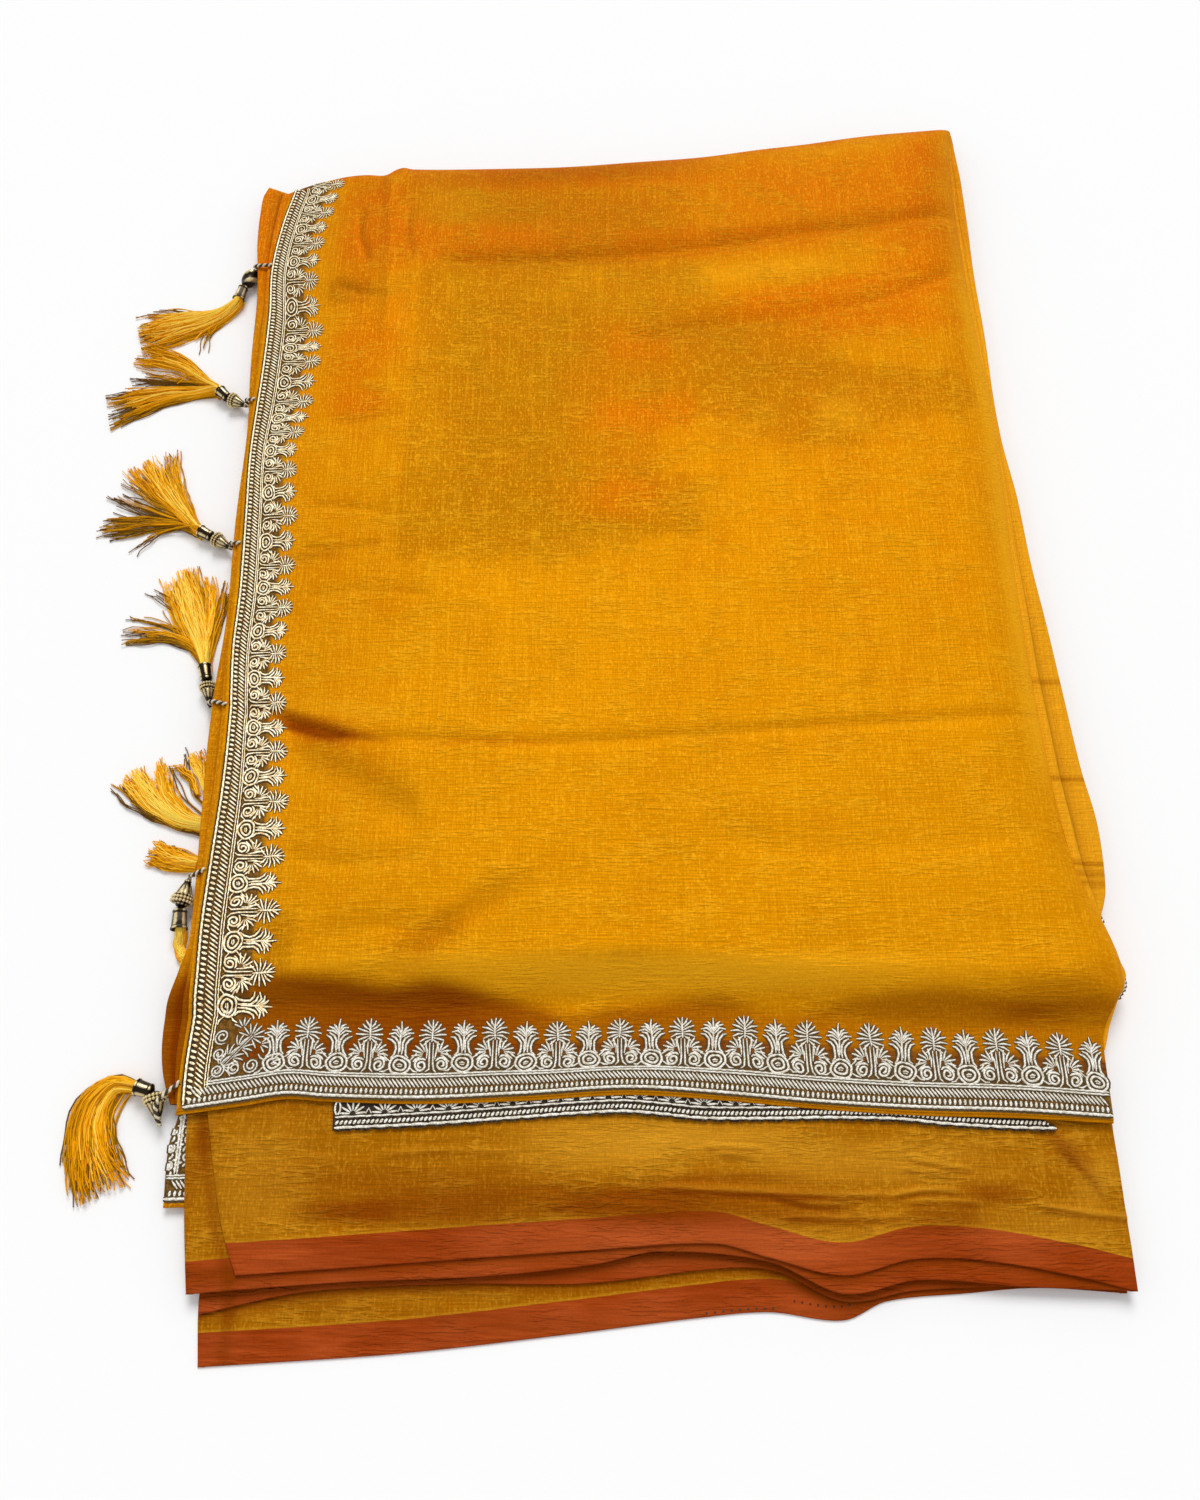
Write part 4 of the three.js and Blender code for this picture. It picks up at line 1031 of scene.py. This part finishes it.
# ---------------------------------------------------------------- corner of the back half
def back_corner():
    """The corner of the end panel's back half, with its border."""
    points, x, y = BACK_CORNER.covered(spread((0, HEM), (1, 0), 24), spread((0, HEM), (1, 0), 40),
                                       back_corner_height, near=HEM_ROLL, left=HEM_ROLL)
    add_cloth("back_corner", points, SHADED_FOLD_SILK, {"ground": 0.95 * (y > BACK_CORNER.near(x) + 2.6)},
              ["end_panel_back"])
    work = Needlework()

    def point(at, depth):
        return np.column_stack([at, BACK_CORNER.near(at) + 3.4 + depth])

    bands(work, point, -198.4, -170, -198.4, 0.2, 1.8)
    lines = [np.array([(u, depth) for depth in range(10, 48, 2)]) for u in (-201.6, -195.2, -194.1, -188.0)]
    for place in range(5):
        turn = 40 * place
        for centre in ((-198.3, 13.2 + 7.2 * place), (-191.0, 16.8 + 7.2 * place)):
            lines += [spiral(centre, 2.0, turn, 1.6, 20)]
            lines += petals(centre, 2.6, 4.0, range(turn, turn + 360, 36), 0.3)
    for line in lines:
        work.lay_inside(point(*line.T), lambda plan: plan[:, 0] > BACK_CORNER.left(plan[:, 1]) + 0.8,
                        0.95, taper=0.1)
    work.raised("back_corner_border", back_corner_height, SILVER, "silver_embroidery",
                ["end_border_back"])


def reverse_strip():
    """The border's dark reverse under the near hem."""
    columns, rows = spread((0, 0.3), (1, 0), 160), spread((0, HEM), (1, 0), 12)
    points = REVERSE_STRIP.covered(columns, rows, reverse_height, near=HEM_ROLL, left=HEM_ROLL)[0]
    add_cloth("reverse_strip", points, BACKING, None, ["border_reverse"])
    work = Needlework()

    def lay(at, depth, width, rise=0.45):
        at = np.asarray(at, float)
        work.lay_inside(np.column_stack([at, REVERSE_STRIP.near(at) + depth]),
                        lambda plan: plan[:, 0] < REVERSE_STRIP.right(plan[:, 1]) + 1.5, width, rise)

    for depth, width in ((0.8, 1.1), (5.2, 0.8)):
        for at in np.arange(-128.4, 181, 8.0):
            run = np.linspace(at, at + 8.2, 7)
            lay(run, depth + 0.1 * np.sin(run), width)
    for at in np.arange(-128, 181, 1.9):
        lay([at, at + 0.5, at + 1.2], np.array([2.1, 2.8, 3.6]), 1.25, 0.55)
    for at in np.arange(-121, 176, REPEAT / 2):
        for line in petals((0, 6.2), 1.3, 5.6, (-84, -58, -30, 0, 30, 58, 84)):
            lay(at + line[:, 0], line[:, 1], 0.85)
        lay([at + 5.6, at + 6.8, at + 8.0], np.array([6.2, 8.4, 6.2]), 0.8)
    lay(*oval((-127.6, 9.0), (1.2, 2.8), 10).T, 0.8)
    work.raised("reverse_stitches", reverse_height, SILVER_ON_BLACK, "silver_embroidery")


# ---------------------------------------------------------------- the hidden folds
FOLD_STEP = 1.8  # distance between the points along the folds
FAR_ROOM = 2.5  # how far the layers reach out on the far side
# The creases are painted shade, dark lines in the colour only.
LEDGE_CREASES = (-147, -142, -137, -94, -41)  # y of each dark crease on the right side's folds
# How far each layer's folded edge reaches out, of the room there is, from the top layer down.
FOLD_SHARES = (0.30, 1.0, 0.92, 0.35, 0.28, 0.42, 0.22, 0.36, 0.26)


def hidden_folds():
    """Edges of the folded layers under the end panel, round its left, far and right sides."""
    corner_x, corner_y = PANEL.place([(0, 0), (1, 0)], [(1, 0)])
    left_y = np.arange(-245, corner_y[0, 0], FOLD_STEP)
    far_x = np.arange(corner_x[0, 0], corner_x[0, 1], FOLD_STEP)
    right_y = np.arange(corner_y[0, 1], -222, -FOLD_STEP)
    left_x, right_x = PANEL.left(left_y), PANEL.right(right_y)
    sides = [  # x and y of the rim, the room outside it, and the way out
        (left_x, left_y, left_x - STACK_LEFT(left_y), (-1.0, 0.0)),
        (far_x, PANEL.far(far_x), FAR_ROOM + 0 * far_x, (0.0, 1.0)),
        (right_x, right_y, STACK_RIGHT(right_y) - right_x, (1.0, 0.0)),
    ]
    rim = np.concatenate([np.column_stack(side[:2]) for side in sides])
    room = np.concatenate([np.maximum(0, side[2]) for side in sides])
    outward = np.concatenate([np.tile(side[3], (len(side[0]), 1)) for side in sides])
    padded = np.pad(outward, ((2, 2), (0, 0)), mode="edge").T
    outward = np.column_stack([np.convolve(part, np.ones(5) / 5, "valid") for part in padded])
    outward /= np.hypot(*outward.T)[:, None]
    run = np.arange(len(rim)) * FOLD_STEP
    top = panel_height(*(rim - outward * 0.6).T) - 1.0
    layers = len(FOLD_SHARES)
    outs = []
    for j, share in enumerate(FOLD_SHARES):
        wander = 0.8 * drift(run, 0, 20 + j, 75) * (0.4 + 0.6 * (j > 0))
        outs.append(np.minimum(room * share + wander, room + 0.6))
    rows, shades = [], []

    def row(out, share, shade):
        out = out + 0 * run
        rows.append(np.column_stack([rim + outward * out[:, None], top * (1 - share / layers)]))
        shades.append(np.full(len(rim), shade))

    row(-9.0, 0, 0)
    # Each layer: rows down into the valley before it, in painted shade, then rows round its folded edge, in
    # painted shade again where it turns under.
    for j, out in enumerate(outs):
        above = outs[j - 1] if j else -4.0
        valley = np.minimum(above, out) - 2.0
        for way, down, shade in ((0, 0.04, 0.6), (0.35, 0.05, 0.35), (0.7, 0.06, 0.1), (1, 0.08, 0)):
            row(mix(valley, out - 0.8, way), j + down, shade)
        for back, down, shade in ((0.25, 0.2, 0), (0.0, 0.5, 0.1), (0.25, 0.8, 0.35), (0.8, 0.94, 0.55)):
            row(out - back, j + down, shade)
    row(outs[-1] - 9, layers, 0.6)
    points = np.stack(rows)
    x, y = rim.T
    # Painted shade in the valleys, in the creases and low on the left side; painted light on the right
    # side; deeper orange towards the far side.
    far_ember = ease((y - 180) / 60) * (1 - 0.6 * ease(x / 160))
    creased = sum(0.4 * np.exp(-(((y - at) / 1.2) ** 2)) for at in LEDGE_CREASES) * (x > 100)
    on_right = ease((x - 190) / 12) * (1 - 0.6 * ease((y - 200) / 100))
    low_left_shade = 0.75 * ease((-176 - y) / 22) * (x < 0)
    shade = np.stack(shades) * (1 - 0.5 * on_right) + creased + low_left_shade
    marks = {"shade": shade, "pale": 0.7 * on_right * (1 - shade), "ember": far_ember * 0.9 + 0 * shade}
    down = np.linalg.norm(np.diff(points, axis=0), axis=-1).sum(axis=0).mean()
    add_cloth("hidden_folds", points, SHADED_FOLD_SILK, marks, ["folded_layers"])


# ---------------------------------------------------------------- tassels
BEAD_HEIGHT = 4.7
TWISTED_BEAD = 1  # the number of the one tassel whose bead is twisted
SKIRT_ROOT = (5.6, 7.6)  # width and height of the threads where they leave the cap
THREAD_RADIUS, THREAD_THINNING = 0.44, 0.16  # of a loose thread, and how much it loses to its end
THREAD_POINTS, THREAD_SIDES = 14, 3  # along and round a loose thread
YARN_RADIUS, YARN_TURN = 0.6, 3.4  # of a ply, and the length of one turn of the two
YARN_POINTS, YARN_SIDES = 60, 8
LEDGE_TOP = 10.6  # height of a yarn over the layers beside the hem
# Each tassel: y where its yarn leaves the hem, tip and neck of its bead, mouth of its cap, how much
# stouter it is, and locks of threads as (how many, how bright, route of x, y, width, height).
TASSELS = [
    (240, (-222.5, 243), (-228.6, 232.5), (-230.8, 221), 1.0, [
        (208, 0.66, [(-243, 210, 13, 4.5), (-262, 203.5, 22, 4), (-290, 195, 33, 3)]),
        (6, 0.25, [(-245, 213, 6, 3), (-268, 217, 4, 2), (-291, 217.5, 4, 1.5)]),
        (12, 0.45, [(-238, 212, 6, 4), (-244, 203, 6, 3), (-252, 190, 6, 2)]),
        (4, 0.3, [(-240, 212, 6, 3), (-247, 200, 4, 2), (-247, 172, 8, 1)]),
    ]),
    (137.5, (-216, 140.5), (-226.5, 145.5), (-232.5, 151.5), 1.0, [
        (96, 0.5, [(-243, 161, 7, 4.5), (-260, 174, 14, 4), (-288, 183, 26, 3)]),
        (130, 0.5, [(-246, 153, 8, 4), (-267, 151, 16, 3.5), (-300, 142, 36, 2.5)]),
        (24, 0.12, [(-250, 158, 6, 3), (-268, 160, 10, 2.5), (-290, 160, 16, 1.5)]),
        (4, 0.6, [(-240, 159, 4, 5), (-252, 165, 3, 5), (-262, 159, 3, 4)]),
    ]),
    (41, (-212, 43.5), (-222.6, 50.5), (-230, 54.8), 1.0, [
        (166, 0.72, [(-241, 67, 9, 4.5), (-254, 84, 17, 4), (-268, 108, 29, 3)]),
        (12, 0.4, [(-240, 70, 9, 4.5), (-249, 88, 12, 3), (-255, 114, 16, 2)]),
        (52, 0.3, [(-243, 61, 6, 3.5), (-262, 61, 12, 3), (-292, 56, 20, 2)]),
        (38, 0.18, [(-244, 64, 8, 3.5), (-264, 72, 20, 3), (-287, 84, 34, 2)]),
        (6, 0.25, [(-246, 57, 4, 3), (-256, 52, 8, 2), (-266, 38, 20, 1)]),
    ]),
    (-54.5, (-210.8, -49.5), (-213.6, -37.5), (-216.2, -28), 1.0, [
        (166, 0.72, [(-221, -14, 12, 4.5), (-230, 7, 19, 4), (-241, 33, 22, 3)]),
        (52, 0.32, [(-223, -15, 8, 3.5), (-240, -6, 12, 3), (-266, -3, 24, 2)]),
        (46, 0.5, [(-217, -14, 7, 3.5), (-216, 8, 11, 3), (-219, 31, 20, 2)]),
        (6, 0.2, [(-224, -12, 8, 3), (-240, 10, 10, 2), (-256, 22, 22, 1)]),
    ]),
    (-140.5, (-207.4, -143.2), (-209.3, -156), (-208.3, -167), 1.25, [
        (70, 0.66, [(-208.6, -173, 5, 4.4), (-206.4, -178, 4.6, 4.2), (-203, -183.5, 4.4, 4)]),
    ]),
    (-236, (-204.8, -251), (-208.4, -239.6), (-216.4, -237.4), 1.22, [
        (218, 0.5, [(-228, -236.2, 10, 5), (-235.6, -246, 16, 4.5), (-234.6, -263, 20, 4),
                    (-225.5, -285, 31, 3)]),
        (26, 0.14, [(-228, -234, 8, 5), (-241, -244, 5, 4), (-243, -263, 5, 3),
                    (-239, -285, 6, 2)]),
        (6, 0.3, [(-222, -240, 4, 3), (-226, -252, 3, 2), (-219, -270, 3, 1), (-212, -280, 3, 1)]),
    ]),
]
# The locks of the back half's three tassels, of which only the threads show.
TUCKED = [
    [(70, 0.66, [(-207.9, -97, 8, 4), (-212, -88, 11, 4), (-219.5, -77, 16, 3)])],
    [(200, 0.78, [(-204.6, -114, 7, 4), (-217, -111, 11, 4), (-231, -100, 18, 3.5),
                  (-243, -82, 31, 3)]),
     (12, 0.2, [(-206, -117, 5, 3), (-222, -112, 5, 3), (-240, -103, 5, 2), (-253, -90, 6, 1)]),
     (6, 0.3, [(-206, -106, 6, 3), (-214, -98, 8, 2), (-222, -82, 12, 1), (-226, -72, 6, 1)])],
    [(150, 0.6, [(-205.5, -134, 7, 4.5), (-217, -131.5, 10, 4.5), (-230.5, -125.5, 11, 4)])],
]


def tubes(paths, radii, sides):
    """Thin tubes along many paths at once, which mostly lie flat."""
    _, beside, above = directions(paths)
    angle = (np.arange(sides) * 2 * math.pi / sides)[:, None]
    ring = beside[:, :, None] * np.cos(angle) + above[:, :, None] * np.sin(angle)
    points = paths[:, :, None] + ring * radii[:, :, None, None]
    count, stations = paths.shape[:2]
    faces = grid_faces((stations, sides), closed=True)
    return points.reshape(-1, 3), repeated(faces, count, stations * sides)


def repeated(faces, count, step):
    """The same faces again for each of some like shapes of step points."""
    return (faces + np.arange(count)[:, None, None] * step).reshape(-1, 4)


def floss(name, root, locks, seed, replaced):
    """A tassel's loose threads: locks of tufts that fan out along their own routes."""
    pick = np.random.default_rng(seed)
    parts = [lock_of_threads(pick, [*root, *route], count, bright) for count, bright, route in locks]
    points, faces, tone = joined(*parts)
    add_piece(name, points, faces, FLOSS, {"tone": np.clip(tone, 0, 1)}, replaced)


def lock_of_threads(pick, route, count, bright):
    """Threads along a route of (x, y, width, height), gathered in tufts with ragged ends."""
    rows = np.array(route, float)
    reach = lengths(rows[:, :2])
    reach = reach / reach[-1] * 1.04
    centre_x, centre_y, width, height = (through(*zip(reach, values)) for values in rows.T)
    tufts = max(3, count // 7)
    tuft = np.arange(count) % tufts

    def each(low, high):
        """A value for each thread, shared by its tuft."""
        return pick.uniform(low, high, tufts)[tuft][:, None]

    def own(low, high):
        return pick.uniform(low, high, (count, 1))

    def centre(t):
        return np.stack([centre_x(t), centre_y(t)], -1)

    t = np.linspace(0, 0.995, THREAD_POINTS) * np.clip(each(0.8, 1.04) * own(0.84, 1.05), 0.5, 1)
    slide = 1e-3
    ahead = unit(centre(t + slide) - centre(t - slide))
    loose = np.sin(np.clip(t, 0, 1) * math.pi) * 0.14 + 0.05
    place = each(-0.93, 0.93) + pick.normal(0, 1, (count, 1)) * loose
    crinkle = 0.8 * np.sin(t * own(8, 26) + own(0, 6)) * t**0.7
    aside = place * width(t) / 2 + (each(-2.6, 2.6) + own(-1.2, 1.2)) * t**3 + crinkle
    level = np.clip(each(0, 1) + own(-0.15, 0.15), 0, 1) * np.sqrt(np.clip(1 - place**2, 0.05, 1))
    z = 0.45 + level * (height(t) - 0.6) + 0.4 * np.sin(t * own(8, 20) + own(0, 6)) * t
    plan = centre(t) + ahead[..., ::-1] * (-1, 1) * aside[..., None]
    paths = np.concatenate([plan, np.maximum(z, 0.6)[..., None]], -1)
    points, faces = tubes(paths, THREAD_RADIUS - THREAD_THINNING * t, THREAD_SIDES)
    # Tone: each lock's and thread's own, painted shade on the threads lower in the lock, lighter towards
    # the cap.
    tone = bright + 0.04 + each(-0.26, 0.2) + own(-0.28, 0.22) + 0.5 * (level - 0.5) + 0.24 * (0.4 - t)
    return points, faces, np.repeat(tone.ravel(), THREAD_SIDES)


def along_axis(start, end):
    """An axis that lies flat: its length and its unit directions along, beside and above."""
    ends = np.array([start, end], float)
    return (np.linalg.norm(ends[1] - ends[0]), *(way[0] for way in directions(ends)))


def turned(profile, start, end, flutes, depth, carve, twist=0.0, sides=40):
    """A turned and fluted piece from rows of (share of the length, radius, polish with painted highlight).
    """
    length, along, beside, above = along_axis(start, end)
    share, radius, high = np.array(profile, float).T[:, :, None]
    angle = np.arange(sides) * 2 * math.pi / sides + 0 * share
    crest = 0.5 + 0.5 * np.cos(flutes * (angle + twist * share))
    wall = radius * (1 + depth * (crest - 0.5) * 2)
    ring = np.cos(angle)[..., None] * beside + np.sin(angle)[..., None] * above
    points = start + along * (share * length)[..., None] + ring * wall[..., None]
    # Brighter on the flutes' crests: polish with a painted highlight.
    polish_and_highlight = high * (1 - carve + carve * crest**2)
    return points.reshape(-1, 3), grid_faces(angle.shape, closed=True)[:, ::-1], polish_and_highlight.ravel()


def granules(start, end, share, radius, count, size):
    """A ring of small beads round a turned piece."""
    _, _, beside, above = along_axis(start, end)
    bead, faces = ball(size)
    angle = 2 * math.pi * np.arange(count)[:, None] / count
    ring = mix(start, end, share) + radius * (beside * np.cos(angle) + above * np.sin(angle))
    points = (ring[:, None] + bead).reshape(-1, 3)
    # Granules are polished all over, with painted highlights.
    return points, repeated(faces, count, len(bead)), np.ones(len(points))


def ball(radius, rings=6, sides=8):
    """Points and faces of a small ball, with tiny open poles closed by narrow rings."""
    tilt = np.linspace(0.12, math.pi - 0.12, rings)[:, None]
    angle = np.arange(sides) * 2 * math.pi / sides
    wide = np.sin(tilt)
    points = np.stack([wide * np.cos(angle), wide * np.sin(angle), np.cos(tilt) + 0 * angle], -1)
    return (points * radius).reshape(-1, 3), grid_faces((rings, sides), closed=True)[:, ::-1]


def joined(*shapes):
    """Points, faces and marks of several shapes as one."""
    points, faces, marks = zip(*shapes)
    starts = np.cumsum([0] + [len(part) for part in points])
    faces = [part + start for part, start in zip(faces, starts)]
    return np.concatenate(points), np.concatenate(faces), np.concatenate(marks)


# Profiles as (share of the length, radius, polish with painted highlight).
CONE = [(0.0, 0.25, 0.3), (0.0, 1.1, 0.9), (0.05, 1.4, 1.0), (0.09, 1.2, 0.1), (0.3, 2.2, 0.75),
        (0.5, 3.0, 0.9), (0.57, 3.2, 0.9), (0.6, 2.8, 0.0), (0.65, 3.3, 0.2), (0.7, 3.4, 0.2),
        (0.75, 3.2, 0.0), (0.79, 3.5, 0.3), (0.84, 3.5, 0.3), (0.88, 2.9, 0.0), (0.92, 2.2, 0.9),
        (0.96, 2.0, 0.3), (1.0, 1.5, 0.0)]
TWIST = [(0.0, 0.3, 0.2), (0.0, 2.0, 0.4), (0.08, 3.2, 0.6), (0.2, 3.9, 0.8), (0.42, 4.2, 1.0),
         (0.6, 4.0, 1.0), (0.78, 3.5, 0.9), (0.9, 2.8, 0.6), (1.0, 1.8, 0.3)]
CAP = [(0.0, 1.5, 0.0), (0.06, 2.4, 0.3), (0.11, 2.9, 1.0), (0.17, 3.0, 1.0), (0.21, 2.7, 0.0),
       (0.3, 2.8, 0.8), (0.6, 3.0, 0.9), (0.83, 3.2, 0.8), (0.87, 3.1, 0.0), (0.9, 3.5, 1.0),
       (0.97, 3.6, 1.0), (1.0, 3.4, 0.6), (0.98, 3.0, 0.0), (0.7, 0.4, 0.0)]


def stouter(profile, times):
    """The same turned profile with wider radii."""
    return [(share, radius * times, polish_and_highlight) for share, radius, polish_and_highlight in profile]


def tassel(number, hem, tip, neck, mouth, stout, locks):
    """One tassel: its yarn, worked bead, flared cap and loose threads."""
    name = f"tassel_{number}"
    tip, neck, mouth = (np.array((*place, BEAD_HEIGHT * stout)) for place in (tip, neck, mouth))
    if number == TWISTED_BEAD:
        bead = turned(TWIST, tip, neck, flutes=3, depth=0.16, carve=1.0, twist=2.6, sides=48)
    else:
        rows = ((0.7, 3.7, 18, 0.62), (0.83, 3.8, 18, 0.62), (0.58, 3.3, 15, 0.4))
        bead = joined(turned(stouter(CONE, stout), tip, neck, flutes=9, depth=0.02, carve=0.6),
                      *(granules(tip, neck, share, radius * stout, count, size * stout)
                        for share, radius, count, size in rows))
    cap = turned(stouter(CAP, stout**0.5), mix(neck, mouth, 0.06), mouth, flutes=5, depth=0.04, carve=0.85)
    for made, (points, faces, high), node in (("bead", bead, "cone"), ("collar", cap, "cap")):
        add_piece(f"{name}_{made}", points, faces, METAL, {"high": high},
                  [f"{name}_{node}"])
    hanging_yarn(name, hem, tip[:2], unit(tip - neck)[:2])
    ahead = along_axis(neck, mouth)[1]
    root = [(*(mouth + ahead * step)[:2], *SKIRT_ROOT) for step in (-1.5, 2.0)]
    floss(f"{name}_threads", root, locks, 40 + number, [f"{name}_skirt"])


def hanging_yarn(name, hem, tip, back):
    """Two yarns twisted together, from the hem over the layer beside it to the bead."""
    start_x = float(PANEL.left(hem))
    rows = np.array([
        (start_x + 0.6, hem, float(panel_height(start_x + 2, hem)) + 0.4),
        (min(float(STACK_LEFT(hem)), start_x) - 1.4, mix(hem, tip[1], 0.6), LEDGE_TOP),
        (*(tip + back * 2.4), BEAD_HEIGHT + 0.8),
        (*(tip - back * 0.5), BEAD_HEIGHT),
    ])
    reach = lengths(rows)
    t = np.linspace(0, reach[-1], YARN_POINTS)
    path = np.column_stack([through(*zip(reach, values))(t) for values in rows.T])
    _, beside, above = directions(path)
    plies = []
    for phase in (0, math.pi):
        angle = (t * 2 * math.pi / YARN_TURN + phase)[:, None]
        plies.append(path + 0.5 * (beside * np.cos(angle) + above * np.sin(angle)))
    paths = np.stack(plies)
    points, faces = tubes(paths, np.full(paths.shape[:2], YARN_RADIUS), YARN_SIDES)
    marks = {"tone": np.repeat([1.0, 0.0], YARN_POINTS * YARN_SIDES),
             "run": np.tile(np.repeat(t, YARN_SIDES), 2)}
    add_piece(f"{name}_yarn", points, faces, YARN, marks, [f"{name}_link"])


def border_glimpses():
    """Two glimpses of a folded-in border at the stack's right edge."""
    work = Needlework()
    for at in (*np.arange(-165, -158, 1.7), *np.arange(-200, -190, 1.7)):
        for reach in (0.0, 1.1):
            edge = float(PANEL.right(at)) + reach
            work.lay([(edge - 0.8, at), (edge, at + 0.9), (edge + 0.3, at + 1.7)], 1.0)

    def ledge(x, y):
        return 10.4 - 0.25 * (x - PANEL.right(y))

    work.raised("border_glimpses", ledge, SILVER, "silver_embroidery")


# ---------------------------------------------------------------- floor, light and camera
FLOOR_HALF = 3000.0  # millimetres
KEY_PLACE, KEY_ENERGY, KEY_SPREAD = (0.1, 1.55, 1.75), 1.75, 30  # metres, sun strength, degrees
FILL = 0.6  # strength of the even light from all round
EYE, TILT, LENS = (-0.015, -0.325, 0.540), 25, 28.8  # metres, degrees, millimetres


def studio():
    """A pale floor, a large soft light beyond the far side and an even fill."""
    white = Finish("floor_white").done(base_color=(0.97, 0.97, 0.97), roughness=0.9)
    corners = [(-1, -1, 0), (1, -1, 0), (1, 1, 0), (-1, 1, 0)]
    meshed("floor", np.array(corners) * FLOOR_HALF, [(0, 1, 2, 3)], white)

    world = bpy.data.worlds.new("soft_fill")
    world.use_nodes = True
    background = world.node_tree.nodes["Background"].inputs
    background["Color"].default_value = (1, 1, 1, 1)
    background["Strength"].default_value = FILL
    bpy.context.scene.world = world

    light = bpy.data.lights.new("soft_key", "SUN")
    light.energy, light.angle = KEY_ENERGY, math.radians(KEY_SPREAD)
    lamp = shown("soft_key", light)
    lamp.location = KEY_PLACE
    x, y, z = KEY_PLACE
    lamp.rotation_euler = (math.atan2(math.hypot(x, y), z), 0, math.atan2(-y, -x) - math.pi / 2)


def camera():
    """Looks down on the stack from its near side, a little more than its own width away."""
    data = bpy.data.cameras.new("view")
    data.sensor_width, data.lens = 36, LENS
    made = shown("view", data)
    made.location = EYE
    made.rotation_euler = (math.radians(TILT), 0, 0)
    bpy.context.scene.camera = made
    bpy.context.scene.view_settings.view_transform = "Standard"


camera()
studio()
end_panel()
side_border()
end_border()
for edge in LOOSE_EDGES:
    loose_edge(edge)
selvedge_stitches()
back_corner()
reverse_strip()
hidden_folds()
border_glimpses()
for number, row in enumerate(TASSELS, 1):
    tassel(number, *row)
for number, locks in enumerate(TUCKED, 1):
    floss(f"tucked_threads_{number}", [], locks, 60 + number, [f"tucked_skirt_{number}"])
